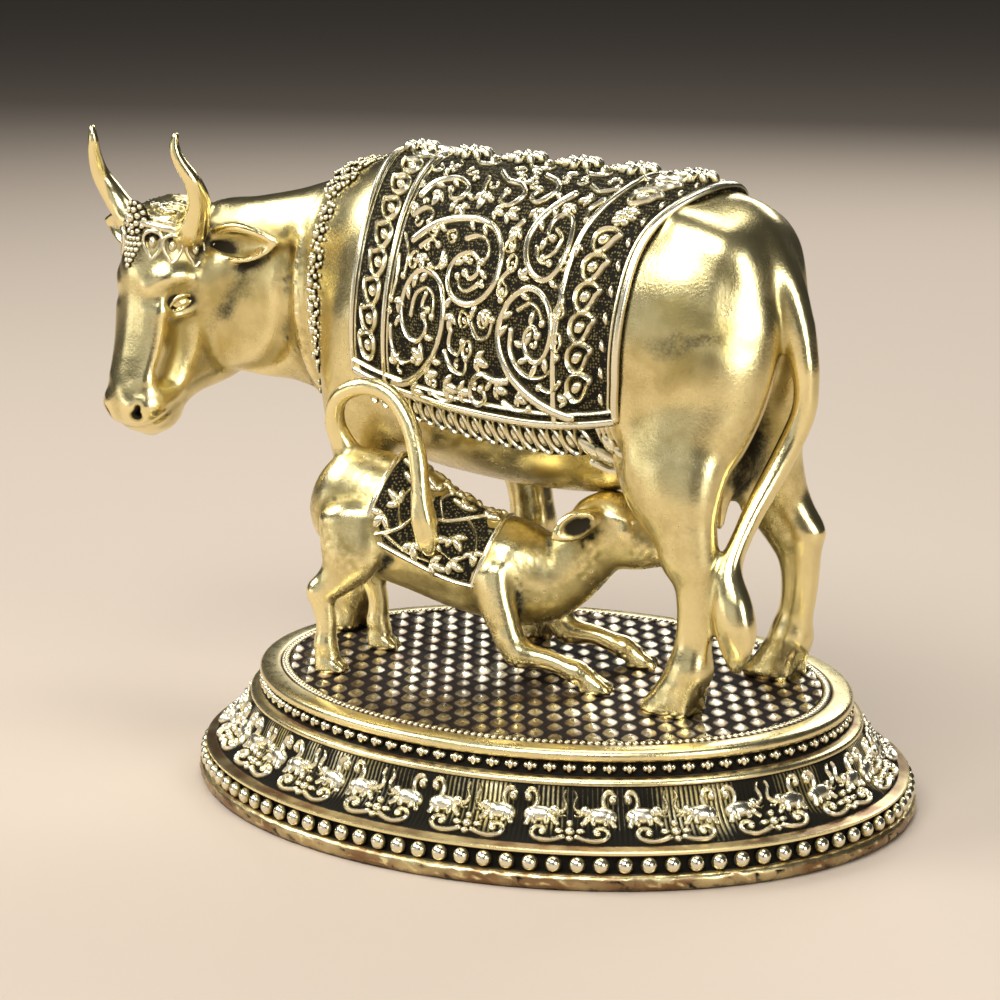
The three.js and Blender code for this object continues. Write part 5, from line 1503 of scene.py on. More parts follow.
class BRASS_OT_cow_head(bpy.types.Operator):
    """The cow's head and neck, worked more finely than her body"""

    bl_idname = "brass.cow_head"
    bl_label = "Cow's head"

    def execute(self, context):
        pitch = settings().cow.head * 1000
        clay = Clay(cow_point(-147, -50, 44), cow_point(-62.5, 26, 125), pitch)
        work_trunk(clay)
        work_head(clay)
        clay.soften(1)
        clay.cut(0, NECK_SEAM + 0.2, False)

        def rough(points):
            f, l, u = ((points - HEAD_ORIGIN) @ HEAD_AXES).T
            neck = np.clip((points[:, 0] + 83) / 4, 0, 1) * np.clip((122 - points[:, 2]) / 8, 0, 1)
            patch = np.clip(0.6 + 0.4 * ripple(points, 17, 51), 0, 1)
            neck = neck * np.clip((-69 - points[:, 0]) / 4, 0, 1) * patch
            poll = np.clip((u + 4.5) / 3, 0, 1) * (np.abs(l) < 9) * (f < 9)
            lift = neck * 0.1 * ripple(points, 1.7, 52) + poll * 0.12 * ripple(points, 1.5, 53)
            shade = neck * (0.08 * ripple(points, 2.1, 54) - 0.16) - 0.15 * poll
            # dark patch on the cheeks, mostly painted dark reflection and partly a faint grey film;
            # painted shade in the eye sockets
            for side in (-1, 1):
                near = away(points, neck_skin(4.0, side * 84, 0.0), (10, 12, 13))
                shade -= 0.22 * np.clip((1.4 - near + 0.1 * ripple(points, 12, 55)) / 1.0, 0, 1)
                # painted shade darkens the eye socket round the eye
                near = away(points, head_skin(side * 52.3, -20.45, 0), (3.4, 3.4, 2.2))
                shade -= 0.45 * np.clip(1.5 - near, 0, 1)
            # painted shade in the nostrils
            for side in (-1, 1):
                for at, size, depth in ((head_point(13.8, side * 5.4, -47.7), 2.0, 0.9),
                                        (head_point(14.0, side * 6.2, -45.9), 1.1, 0.7)):
                    near = np.linalg.norm(points - at, axis=1) / size
                    shade -= depth * np.clip(1.25 - near, 0, 1)
            return lift, shade

        sculpt_piece(clay, "cow_head", "polished_brass", None, 1.1, 1.0, rough)
        return {"FINISHED"}


class BRASS_OT_cow_eyes(bpy.types.Operator):
    """The cow's almond eyes with their lids, worked finely"""

    bl_idname = "brass.cow_eyes"
    bl_label = "Cow's eyes"

    def execute(self, context):
        shells = []
        for side in (-1, 1):
            heart = head_skin(side * 52, -20.4, 0)
            clay = Clay(heart - 6, heart + 6, 0.28)
            clay.ball(head_skin(side * 52.3, -20.45, -1.25), (1.75, 2.75), (0, 0, 1), 0.2)
            skin_rod(clay, [(43.0, -22.2, -0.35, 0.4), (46.5, -20.2, 0.05, 0.5),
                            (51.5, -18.9, 0.2, 0.6), (57, -18.6, 0.1, 0.55),
                            (62, -19.2, -0.3, 0.4)], side, 0.25)
            skin_rod(clay, [(43.0, -22.2, -0.35, 0.4), (48, -22.5, -0.05, 0.45),
                            (53.5, -22.1, 0.0, 0.48), (59, -20.8, -0.1, 0.4),
                            (62, -19.2, -0.3, 0.35)], side, 0.25)
            skin_rod(clay, [(49.5, -20.9, 0.62, 0.24), (52.5, -20.1, 0.7, 0.3),
                            (55.5, -20.0, 0.55, 0.24)], side, 0.2, True)
            points, quads = clay.skin(2)
            shells.append((points, [quads], clay.rise(points, 0.6, 1.2)))
        points, faces, rise = together(shells)
        cast("cow_eyes", points, faces, "polished_brass", rise)
        return {"FINISHED"}


class BRASS_OT_headdress(bpy.types.Operator):
    """Headband with rosette, leaf petals and pendant, and the curls between the horns"""

    bl_idname = "brass.headdress"
    bl_label = "Headdress"

    def execute(self, context):
        corners = np.array([
            head_point(f, l, u) for f in (-16, 13) for l in (-15, 15) for u in (-18, 9)
        ])
        clay = Clay(corners.min(0), corners.max(0), 0.31)

        def line(rows, size, blend=0.3):
            spots = np.array([head_skin(a, u, lift) for a, u, lift in rows]) - cow_point(0, 0, 0)
            clay.rod(np.column_stack([spots, np.full((len(rows), 2), size)]), blend=blend)

        band = np.linspace(-98, 98, 15)
        dip = -0.8 - 3.4 * np.sin(np.radians(band)) ** 2
        line([(a, d, 0.55) for a, d in zip(band, dip)], 1.0)
        line([(a, d + 1.6, 0.15) for a, d in zip(band, dip)], 0.45)
        # curls of hair
        rng = np.random.default_rng(12)
        for _ in range(34):
            f, l = rng.uniform(-9, 3.5), rng.uniform(-7, 7)
            up = 4.3 - 0.024 * (f + 3) ** 2 - 0.03 * l ** 2
            turn, hand = rng.uniform(0, 2 * math.pi), rng.choice((-1, 1))
            rows = []
            for s in np.linspace(0, 1, 6):
                b = turn + hand * s * 4.2
                r = 1.7 * (1 - 0.62 * s)
                rows.append([f + r * math.cos(b), l + r * math.sin(b), up - 0.5, 0.5, 0.5])
            clay.rod(rows, place=head_point, blend=0.25, steps=2)
        points, quads = clay.skin(2)
        shells = [(points, [quads], clay.rise(points, 0.6, 1.1))]
        # petals: an outline round a dark hollow with an almond in it
        petal = Relief((-3, -6), (3, 6), 0.5)
        petal.leaf((0, -0.3), 90, 7.2, 4.6, 0.25, 0.8, 0.0)
        petal.marks[-1][:] = 0.0
        petal.drop((0, -0.6), 90, 2.6, 1.3, 0.44, 0.2, 0.52)
        for a in (-86, -66, -47, -28, 28, 47, 66, 86):
            dip = -0.8 - 3.4 * math.sin(math.radians(a)) ** 2 - 4.2

            def hang(x, y, lift):
                out = unit(head_skin(a, dip, 1.0) - head_skin(a, dip, 0.0))
                way = unit(head_skin(a + 1, dip, 0.0) - head_skin(a - 1, dip, 0.0))
                down = 1.22 * (y[:, None] + 0.5) * np.array([0, 0, 1.0])
                bent = (lift - 0.07 * x * x)[:, None] * out
                return head_skin(a, dip, 0.1) + x[:, None] * way - down + bent

            shells.append(petal.laid(hang))
        # rosette of beads in rings, and a pendant narrowing to a point
        beads = Relief((-6, -6), (6, 20), 1.0)
        beads.bead((0, 0), 4.4, 1.2)
        beads.marks[-1][:] = 0.05
        for count, reach, size, lift in ((1, 0, 1.35, 1.2), (7, 2.2, 0.95, 0.9), (13, 3.75, 0.8, 0.5)):
            for k in range(count):
                b = 2 * math.pi * k / count
                beads.bead((reach * math.sin(b), reach * math.cos(b)), size, size, lift)
        for row, count in enumerate((4, 5, 4, 3, 2, 1)):
            for k in range(count):
                beads.bead((1.35 * (k - (count - 1) / 2), 5.2 + 1.3 * row), 0.72, 0.8, 0.1)

        def front(x, y, lift):
            up = 0.4 - y
            return head_skin(x / 0.21, np.minimum(up, -2.4), 0.2) + (lift[:, None] * HEAD_FORWARD) \
                + np.maximum(up + 2.4, 0)[:, None] * np.array([0, 0, 1.0]) * 0.96

        shells.append(beads.laid(front))
        points, faces, rise = together(shells)
        cast("headdress", points, faces, "relief_brass", rise)
        return {"FINISHED"}


class BRASS_OT_garland(bpy.types.Operator):
    """Garland of bead flowers round the neck, with a cluster of beads at the withers"""

    bl_idname = "brass.garland"
    bl_label = "Garland"

    def place(self, t, angle, size, lift):
        """A bead's place, found by feeling inwards for the skin of the body and head."""
        far, near = neck_skin(t, angle, 16.0), neck_skin(t, angle, -12.0)
        way = unit(near - far)
        start = Vector(far * 0.001)
        best, out = 26.0, -way
        for name in ("cow_body", "cow_head"):
            hit, at, normal, _ = bpy.data.objects[name].ray_cast(start, Vector(way))
            if hit and (start - at).length * 1000 < best:
                best, out = (start - at).length * 1000, np.array(normal)
        # under the neck the forelegs stand in the way of the beads
        if math.cos(math.radians(angle)) < -0.1 and best < 11.0:
            return None
        out = unit(out)
        side = unit(np.cross((0.02, 0.7, 0.7), out))
        return far + way * best + out * lift, side, np.cross(out, side), out, size

    def flower(self, t, angle, per, turn, size=1.0):
        """A large bead with seven small ones round it; per is the degrees to a millimetre."""
        beads = [self.place(t, angle, 1.25 * size, 0.7)]
        for j in range(7):
            b = 2 * math.pi * j / 7 + turn
            beads.append(self.place(t + 0.19 * size * math.sin(b),
                                    angle + 1.95 * size * per * math.cos(b), 0.82 * size, 0.3))
        return beads

    def execute(self, context):
        pattern, rise = dome(8, 5, 1.0)
        count = settings().cow.flowers
        around = np.linspace(0, 360, 721)
        rows = neck_skin(np.full(721, 1.35), around, 1.0)
        length = np.concatenate([[0], np.cumsum(np.linalg.norm(np.diff(rows, axis=0), axis=1))])
        per = 360 / length[-1]
        places = []
        for k in range(count):
            a = float(np.interp(length[-1] * k / count, length, around))
            places += self.flower(1.33 + 0.05 * math.sin(3.1 * k), a, per, 0.3 * k)
        # the cluster over the withers
        rng = np.random.default_rng(7)
        for a in (-27, -13, 0, 13, 27):
            for t in (1.02, 1.62):
                places += self.flower(t, a, per, 0.7 * a, 0.9)
        for _ in range(110):
            a = rng.normal(0, 14)
            places.append(self.place(1.34 + rng.uniform(-0.36, 0.34), a, rng.uniform(0.6, 0.9),
                                     rng.uniform(0.7, 1.9)))
        for k in range(int(length[-1] / 1.35)):
            a = float(np.interp(k * 1.35, length, around))
            places.append(self.place((1.07, 1.6)[k % 2], a, 0.55, 0.1))
        cast_copies("garland", pattern, [spot for spot in places if spot], "bead_brass", rise)
        return {"FINISHED"}


VOLUTES = (
    # a paisley, a wide curl, a tall curl, a loop and a low scroll; each starts at its root
    ([(17, 61.5), (21, 61.5), (26, 59.5), (31.5, 55.5), (34.5, 51), (35.3, 46.5), (34, 41.8),
      (30.5, 39), (25.5, 38.2), (21.7, 41), (20.2, 45.5), (21, 49), (23.5, 51.7), (27, 52),
      (29.6, 49.6), (28.6, 47)], 0.92, 0.62),
    ([(20, 32.5), (24, 29.5), (28.5, 27.2), (34.5, 26), (40.5, 26), (46, 28), (49.6, 32), (50.5, 36),
      (49.5, 40), (46, 42.8), (42, 43.6), (37.7, 42.6), (35.2, 40), (35, 36.8), (37.2, 34.2),
      (40.8, 33.4), (43.6, 35), (44, 37.4), (42, 38.6), (40.2, 37.6)], 0.95, 0.6),
    ([(76, 65.3), (70.5, 63.5), (64, 60.6), (58.6, 57), (55.2, 53), (53.6, 49), (54.2, 44.6),
      (56.6, 41.2), (60.5, 39.2), (65, 40.5), (68.3, 44), (69.2, 47.8), (68.3, 51.4), (66, 53.4),
      (63.2, 52.6), (61.6, 50), (62, 47.4), (64, 46.7), (65.5, 48.3)], 0.98, 0.6),
    ([(60.6, 16), (58.2, 20.5), (56.6, 25), (56.2, 29.6), (58, 34), (61.4, 36.8), (65, 37.4),
      (67.8, 35), (68.6, 31), (67.4, 26.4), (64.8, 23), (62.2, 22.4), (60.7, 24.4), (61.2, 27.6),
      (63.2, 28.6)], 0.92, 0.6),
    ([(57, 57.5), (53, 57.6), (49, 56.6), (45.7, 58.3), (45, 61.3), (47.4, 63), (49.8, 61.4),
      (48.6, 59.6)], 0.85, 0.65),
    ([(17.3, 22), (20, 17.2), (25.5, 15), (30.4, 17.6), (30.2, 20.8), (27, 21.2), (25.6, 19)], 0.85,
     0.65),
    ([(36, 11), (40, 14), (44.5, 15), (47.5, 18.4), (45.5, 21.6), (42, 20.6), (42.2, 17.8)], 0.8, 0.65),
    ([(48, 10.5), (52.5, 12.5), (55, 16), (53, 19.8), (50, 18.8), (50.4, 16.2)], 0.8, 0.65),
)
CURLS = (
    [(17.5, 27), (20.5, 24.6), (23.6, 25.4), (23.6, 28)], [(16.4, 36), (17, 40.6), (16.2, 45)],
    [(31.5, 33.6), (31, 37), (28, 37.2)], [(37.5, 30.6), (41, 29.6), (44.4, 30.6), (46, 33.4),
                                           (44.8, 35)],
    [(45.2, 39.4), (42, 41), (39.4, 40.6), (38, 38.4)], [(24, 47.4), (25, 43), (28.6, 41.6),
                                                         (31.4, 43.6), (31.5, 47)],
    [(28.6, 42.5), (27.6, 45.2), (29.8, 45.8)], [(16.6, 50), (17.4, 54.4), (21, 57), (25.4, 56)],
    [(36.5, 53), (39, 56.4), (43, 57), (44, 54)], [(38.6, 48.6), (38, 52), (41, 53.4), (42.6, 50.8)],
    [(57.4, 47.2), (57.6, 51.6), (60.4, 55), (64.4, 56.6), (68.8, 55.8), (71.6, 52.6)],
    [(58.6, 43.6), (61.8, 42.2), (64.6, 43.4), (66.4, 46)], [(72.6, 57.4), (69.8, 59.4), (66.4, 58.4)],
    [(63, 26.4), (65.6, 28.4), (65, 31.6), (62.4, 33)], [(59.4, 30.6), (61.4, 33.6), (64.6, 34)],
    [(52.6, 25), (50.4, 28.4), (52.8, 31.4)], [(54.2, 35.6), (51.6, 38.6), (53, 42)],
    [(69.2, 17), (67.6, 20.6), (69.4, 23.6)], [(69.2, 38.6), (71.4, 41.8), (70.4, 45)],
    [(62, 12.6), (65.6, 14.4), (69, 12.8)], [(33.6, 13.4), (35.4, 18.4), (39.2, 20.4)],
    [(23, 33.6), (26.2, 31.6), (29, 32.6)], [(16.8, 31.4), (19.6, 35.8), (19.4, 40)],
    [(44.4, 46.6), (47.2, 49.8), (50.6, 49), (51.4, 46)], [(39.6, 62.4), (35.4, 63.4), (31, 62)],
    [(55.2, 61.8), (59, 63.4), (63, 63)],
)
SPRAYS = (
    # middle, direction, size of a leaf with two smaller ones at its sides
    (28.6, 55.4, 200, 3.6), (24, 62.6, 8, 3.4), (29.5, 58.6, -8, 3.6), (36, 60, 12, 4.0),
    (41, 60.6, 6, 3.4),
    (18.6, 57.6, 250, 3.0), (36.6, 18.6, 90, 3.8), (23.2, 20, 110, 3.2), (54.6, 21.6, 75, 3.2),
    (46.6, 23.4, 20, 3.2),
    (52.4, 27, 110, 3.2), (62.6, 19.6, 100, 3.2), (66, 17.2, 160, 3.0), (47, 53.6, 20, 3.4),
    (53, 58.8, 20, 3.2),
    (74.4, 61.6, 210, 2.6), (59.6, 60.2, 30, 2.8), (24.4, 35, 75, 3.2), (31.6, 22.8, 60, 3.0),
    (48, 44.4, 60, 3.0),
    (57.6, 37.6, 300, 2.8), (38.2, 45.8, 100, 3.0), (19.4, 44.4, 95, 2.6), (17.2, 24, 100, 2.6),
    (42.4, 23.4, 10, 2.8), (71.6, 29.6, 95, 2.2), (33.4, 36.4, 200, 2.6),
)
OVALS = ((22, 36.4, 100), (54, 34.6, 80), (69.2, 33.6, 95), (48.8, 46, 120), (44.2, 52.2, 100),
         (71.2, 49.6, 90))
TEARS = ((52, 31, 265), (53, 40.2, 250), (42.6, 46.6, 230), (71, 43.6, 270), (33, 30.4, 200),
         (26.2, 29.6, 160))


def hem_at(x):
    """How far down the cloth its hem runs, in millimetres of arc."""
    return ARC * (110 + 9 * np.asarray(x, float) / CLOTH_LENGTH)


def draw_cloth(plan, thick, drops, spine):
    """Draws the ornament of one side of the cloth, x from its front edge and y down from the spine, and
    returns the heights of its ground."""
    x, y = plan.x[:, None], plan.y[None, :]
    hem = hem_at(x)
    inside = (x >= 0) & (x <= CLOTH_LENGTH) & (y <= hem)
    front, rear, base = 13.6, 70.4, thick
    # borders
    for at, size in ((0.3, 0.95), (front, 0.8), (rear, 0.8), (CLOTH_LENGTH - 0.3, 0.95)):
        plan.stroke([(at, 0), (at, 20), (at, 40), (at, float(hem_at(at)))], size, 1.0, base=base)
    for at, size in ((front + 1.6, 0.4), (2.0, 0.4), (CLOTH_LENGTH - 2.0, 0.4)):
        plan.stroke([(at, 0), (at, 20), (at, 40), (at, float(hem_at(at)) - 2.2)], size, 0.6, base=base)
    hem_line = [(a, float(hem_at(a))) for a in np.linspace(0.5, CLOTH_LENGTH - 0.5, 9)]
    plan.stroke([(a, b - 0.2) for a, b in hem_line], 1.0, 1.2, base=base)
    plan.stroke([(a, b - 2.7) for a, b in hem_line], 0.55, 0.9, base=base)
    # bands of teardrops
    for at in (4.4, 12, 19, 25.8, 32, 38, 43.9, 49.6, 55):
        across = 8.9 - 1.6 * max(0, at - 38) / 22
        plan.drop((across, at + 0.4), 205, 2.9, 1.5, 0.5, base, 0.7)
    for at in (3, 9, 15, 28, 34.3, 40.5, 46.6, 52.6, 58.6):
        plan.drop((77.5, at), -24, 3.0, 1.5, 0.5, base, 0.7)
    plan.flower((78.4, 21.6), 3.2, 8, 1.3, 11, 1.0, base)
    for k in range(11):
        plan.leaf((84.0, 6 + 5.6 * k), 70, 3.2, 1.2, 0.9, 1.4, 0.2, base)
    # the field
    for points, size, end in VOLUTES:
        plan.stroke(points, 1.05 * size, 1.5, end, base=base)
        plan.bead(points[-1], 1.05, 1.6, base)
    for points in CURLS:
        plan.stroke(points, 0.73, 1.25, 0.6, base=base)
        plan.bead(points[-1], 0.95, 1.4, base)
    for a, b, turn, size in SPRAYS:
        for lean, share in ((0, 1.0), (52, 0.74), (-52, 0.74)):
            way = math.radians(turn + lean)
            spot = (a + 0.55 * share * size * math.cos(way), b + 0.55 * share * size * math.sin(way))
            plan.leaf(spot, turn + lean, 1.5 * size * share, size * 0.66 * share, 1.4, 1.4, 0.15, base)
    for a, b, turn in OVALS:
        c, s = turned(turn)
        ring = [(a + 1.75 * p * c - 1.3 * q * s, b + 1.75 * p * s + 1.3 * q * c)
                for p, q in ((1, 0), (0.7, 0.7), (0, 1), (-0.7, 0.7), (-1, 0), (-0.7, -0.7), (0, -1),
                             (0.7, -0.7))]
        plan.stroke(ring, 0.48, 1.2, closed=True, base=base)
        plan.bead((a, b), 0.55, 0.9, base)
    for a, b, turn in TEARS:
        plan.drop((a, b), turn, 1.5, 1.2, 0.4, base, 0.4)
    # leaves that spring from the scrolls, then curls where the ground is still open
    rng = np.random.default_rng(44)

    def room(a, b, reach):
        """Whether the ground is open round a place in the field."""
        i, k = np.searchsorted(plan.x, a), np.searchsorted(plan.y, b)
        n = max(1, int(reach / (plan.x[1] - plan.x[0])))
        near = plan.height[max(i - n, 0):i + n + 1, max(k - n, 0):k + n + 1]
        within = 15 < a < 69 and 8.5 < b < float(hem_at(a)) - 3.6 - reach * 0.6
        return within and near.max() < thick + 0.2

    for points, size, _ in VOLUTES:
        line = curve(points, gap=3.3)
        for k in range(1, len(line) - 1):
            way = line[k + 1] - line[k - 1]
            angle = math.degrees(math.atan2(way[1], way[0]))
            for hand in (-1, 1):
                turn = angle + hand * 48
                spot = line[k] + 2.0 * np.array(turned(turn))
                if room(spot[0], spot[1], 1.0):
                    plan.leaf(spot, turn, 3.6, 1.6, 1.2, 1.3, 0.15, base)
    for reach, tries in ((2.0, 700), (1.5, 500), (0.9, 160)):
        for _ in range(tries):
            a, b = rng.uniform(15, 69), rng.uniform(8.5, 64)
            if not room(a, b, reach):
                continue
            turn, hand = rng.uniform(0, 2 * math.pi), rng.choice((-1, 1))
            bend = [(a + reach * r * math.cos(turn + hand * w),
                     b + reach * r * math.sin(turn + hand * w))
                    for w, r in ((0, 1.05), (1.0, 0.9), (2.0, 0.76), (3.0, 0.6), (4.0, 0.4))]
            plan.stroke(bend, 0.5, 1.0, 0.7, base=base)
            plan.bead(bend[-1], 0.62, 1.15, base)
    # ribbed flowers along the spine, with leaves between them
    for k in range(6 if spine else 0):
        at = CLOTH_LENGTH * (0.06 + 0.86 * k / 5)
        plan.bead((at, 0), 4.6, 1.9, base)
        plan.marks[-1][:] = 0.1
        for petal in range(8):
            a = 2 * math.pi * petal / 8
            plan.leaf((at + 2.9 * math.cos(a), 2.9 * math.sin(a)), math.degrees(a), 4.4, 2.3, 2.6, 0.7,
                      0.0, base)
        plan.bead((at, 0), 1.5, 3.0, base)
    for k in range(5):
        middle = CLOTH_LENGTH * (0.146 + 0.172 * k)
        plan.stroke([(middle - 3.4, 4.8), (middle - 1, 7.0), (middle + 2, 6.6), (middle + 3, 4.4)], 0.6,
                    1.2, 0.6, base=base)
        if spine:
            for turn, out in ((90, 2.6), (-90, 2.6), (0, 0.2)):
                plan.leaf((middle + (0 if out > 1 else 1.5),
                           math.copysign(out, turn) if out > 1 else 0), turn, 3.6,
                          2.0, 1.5, 1.3, 0.2, base)
    edge = np.clip(np.minimum(np.minimum(x + 0.5, CLOTH_LENGTH + 0.5 - x), hem + 0.35 - y) / 0.45, 0, 1)
    # the fringe hangs from the hem, longer towards the rear
    fall = ARC * (11 + 6 * np.clip(x / CLOTH_LENGTH, 0, 1))
    sheet = (y > hem - 1) & (y < hem + fall) & (x > 0.6) & (x < CLOTH_LENGTH - 0.6)
    for k in range(drops - 2):
        at = 2.6 + (CLOTH_LENGTH - 5.2) * k / (drops - 1)
        drop = ARC * (10 + 5 * at / CLOTH_LENGTH)
        middle = float(hem_at(at)) + 0.55 * drop
        lean, wide = math.radians(72), 0.42 * (CLOTH_LENGTH - 5.2) / (drops - 1)
        ring = [(at + 0.47 * drop * c * math.cos(lean) - wide * d * math.sin(lean),
                 middle + 0.47 * drop * c * math.sin(lean) + wide * d * math.cos(lean))
                for c, d in ((1, 0), (0.75, 0.68), (0.1, 0.98), (-0.62, 0.76), (-1.1, 0),
                             (-0.62, -0.76), (0.1, -0.98), (0.75, -0.68))]
        plan.stroke(ring, 0.42, 0.95, closed=True, base=0.45)
        plan.leaf((at, middle), 72, 0.5 * drop, 0.95 * wide, 0.95, 1.0, 0.0, 0.4)
    # a large curled leaf at the rear corner
    top = float(hem_at(CLOTH_LENGTH))
    for at, down, turn, long, wide, lift in ((-9.0, 6.2, 48, 10.5, 3.4, 1.0),
                                             (-5.2, 8.6, 52, 9.5, 3.4, 1.5),
                                             (-3.4, 5.4, 66, 7.5, 2.8, 1.2),
                                             (-1.0, 8.2, 58, 6.5, 2.4, 1.6)):
        plan.leaf((CLOTH_LENGTH + at, top + down), turn, long, wide, 1.7, 1.1, 0.12, lift)
    plan.stroke([(CLOTH_LENGTH - 10.5, top + 8.6), (CLOTH_LENGTH - 6.6, top + 12.6),
                 (CLOTH_LENGTH - 2.4, top + 13.2), (CLOTH_LENGTH - 0.6, top + 10.6),
                 (CLOTH_LENGTH - 2.6, top + 9.4)], 0.85, 1.5, 0.8, base=1.2)
    # tassels at the corners
    for at, way in ((CLOTH_LENGTH - 1.5, 1), (1.5, -1)):
        top = float(hem_at(at))
        for j in range(4):
            if way > 0:
                thread = ((-0.4 - 1.3 * j, 0.6), (-0.2 - 1.2 * j, 4.5), (2.2 - 1.1 * j, 9.5 - 0.6 * j),
                          (4 - 1.1 * j, 11 - j))
            else:
                thread = ((-0.4 - 1.1 * j, 0.4), (-0.6 - 1.0 * j, 3.4), (0.4 - 1.0 * j, 5.6))
            plan.stroke([(at + way * a, top + b) for a, b in thread], 0.75, 1.5, 0.6, base=0.3)
    return np.maximum(np.where(inside, thick * edge - 1.2 * (1 - edge), -1.6),
                      np.where(sheet, 0.4, -1.6))


class BRASS_OT_cloth(bpy.types.Operator):
    """The cow's cloth with its bands, scrolls, flowers and fringe, one piece on each side"""

    bl_idname = "brass.cloth"
    bl_label = "Cow's cloth"

    def execute(self, context):
        given = settings().cloth
        pitch = given.grain * 1000
        for side, name in ((-1, "cloth_left"), (1, "cloth_right")):
            plan = Relief((-1.2, 0.0), (CLOTH_LENGTH + 3.4, 82.5), pitch)
            plan.height[:] = given.thick * 1000
            ground = draw_cloth(plan, given.thick * 1000, given.drops, side < 0)
            nx, ny = ground.shape

            def place(x, y, lift):
                return cloth_point(x / CLOTH_LENGTH, side * y / ARC, lift)

            x, y = np.broadcast_arrays(plan.x[:, None], plan.y[None, :])
            points = place(x, y, ground).reshape(-1, 3)
            edge = edge_of(nx, ny)
            sunk = place(x, y, -3.0 + 0 * ground).reshape(-1, 3)[edge]
            points, faces = lined(points, grid_faces(nx, ny), edge, sunk, cow_point(-6, side * 4, 80))
            rise = 0.07 + 0.08 * ripple(points, 3, 71)[:nx * ny]
            points, faces, rise = together([(points, faces, rise), plan.laid(place)])
            cast(name, points, faces, "relief_brass", rise, angle=62)
        return {"FINISHED"}


def work_calf(clay):
    """The calf's body, head, legs, ears and tail."""
    up = (0, 0, 1)
    clay.rod([[-35.4, 0, 40.4, 7, 4], [-33, 0, 39, 12.4, 8.4], *CALF_BODY[2:]], up, calf_point, 1.2, 5)
    clay.rod(CALF_HEAD, up, calf_point, 1.6, 5)
    clay.ball(calf_point(30.6, 0, 38.6), (5.4, 6.0), up, 2.0)
    for side in (-1, 1):
        near = side > 0

        def hind(s, o, z):
            return calf_point(s + (4.6 if near else 0), side * o, z)

        def fore(s, o, z):
            return calf_point(s + (4.5 if near else 0), side * (o + (1 if near else 0)), z)

        def own(s, o, z):
            return calf_point(s, side * o, z)

        thigh = [[*row[:3], row[3] * 0.9, row[4]] for row in CALF_HIND[:3]]
        hock = [-36.2, 11.4, 18.6, 3.3, 2.5]
        clay.rod([*thigh, hock], CALF_HEADING, hind, 1.6)
        clay.rod([hock, *CALF_HIND[4:]], CALF_HEADING, hind, 0.8)
        clay.rod(CALF_FORE[:3], up, fore, 1.8)
        clay.rod(CALF_FORE[2:], up, fore, 1.2)
        clay.ball(hind(-36.6, 11.4, 18.8), (3.0, 2.7), blend=1.0)
        clay.ball(hind(-34.8, 12, 6.2), (2.6, 2.7), blend=0.8)
        clay.ball(fore(12.6, 11.9, 7.8), (3.3, 3.3), blend=1.2)
        clay.ball(fore(26.2, 12, 4.4), (2.8, 2.8), blend=1.0)
        for s, o in ((-28.8 if near else -33.4, side * 12),
                     (35.2 if near else 30.8, side * (13 if near else 12))):
            for half in (-1, 1):
                rows = [[-1, 0.2, half * 1.45, 3.9, 1.65], [0, 0.2, half * 1.45, 3.9, 1.65],
                        [1.6, 0, half * 1.4, 3.6, 1.6], [3.2, -1.2, half * 1.1, 2.7, 1.5],
                        [4.6, -1.9, half * 0.8, 1.4, 1.0]]
                across = (CALF_HEADING, np.cross((0, 0, 1.0), CALF_HEADING))
                clay.stack(rows, calf_point(s, o, 0), 2, 1, across, 0.5)
        # shoulder, haunch and folds
        clay.rod([[9, side * 5.5, 29, 5, 3.6], [7, side * 8, 22, 4.4, 3.2]], up, calf_point, 3)
        clay.rod([[-19, side * 11.5, 27, 0.7, 0.7], [-21, side * 11, 21, 0.7, 0.7]], up, calf_point, 2,
                 4, True)
        # ear, eye, brow, nostril and mouth
        clay.rod([[30, 4.6, 39.4, 1.6, 1.6], [27.4, 7.2, 38.8, 3.0, 1.8], [24.4, 9.4, 37.6, 3.7, 1.7],
                  [22, 10.8, 36.2, 2.6, 1.3], [20.6, 11.6, 35, 0.9, 0.8]], up, own, 0.9, 5)
        clay.rod([[28, 8.8, 39, 1.0, 0.8], [25.2, 10.8, 37.9, 2.5, 1.5], [22.8, 12, 36.6, 1.5, 1.0]],
                 up, own, 0.5, 5, True)
        clay.ball(own(35.0, 6.0, 36.2), (1.7, 1.9), blend=0.8, carve=True)
        clay.ball(own(35.0, 5.2, 36.2), (1.25, 1.35), blend=0.3)
        ring = [[35 + 2.0 * math.cos(b), 5.8, 36.2 + 1.7 * math.sin(b), 0.42,
                 0.42] for b in np.linspace(0, 2 * math.pi, 9)]
        clay.rod(ring, up, own, 0.5, 3)
        clay.rod([[32.4, 5.6, 39.4, 0.7, 0.7], [36.6, 4.9, 38.8, 0.6, 0.6]], up, own, 0.8)
        clay.ball(own(45.8, 2.2, 32.8), (0.6, 0.75), blend=0.4, carve=True)
        clay.rod([[47.6, 0.4, 29.8, 0.3, 0.3], [44.4, 3.9, 29.8, 0.35, 0.35],
                  [41, 4.8, 30.4, 0.3, 0.3]], up, own, 0.4, 4, True)
    clay.rod(CALF_TAIL[:8], CALF_HEADING, calf_point, 1.6, 5)
    clay.rod(CALF_TAIL[7:], CALF_HEADING, calf_point, 0.6, 4)
    for k in range(5):
        a = 2 * math.pi * k / 5
        rows = []
        for s, o, z, deep, wide in CALF_TAIL[7:]:
            b = a + (43 - z) * 0.06
            rows.append([s + 0.8 * deep * math.cos(b), o + 0.8 * wide * math.sin(b), z,
                         0.3 * deep + 0.1, 0.3 * deep + 0.1])
        clay.rod(rows, CALF_HEADING, calf_point, 0.4)


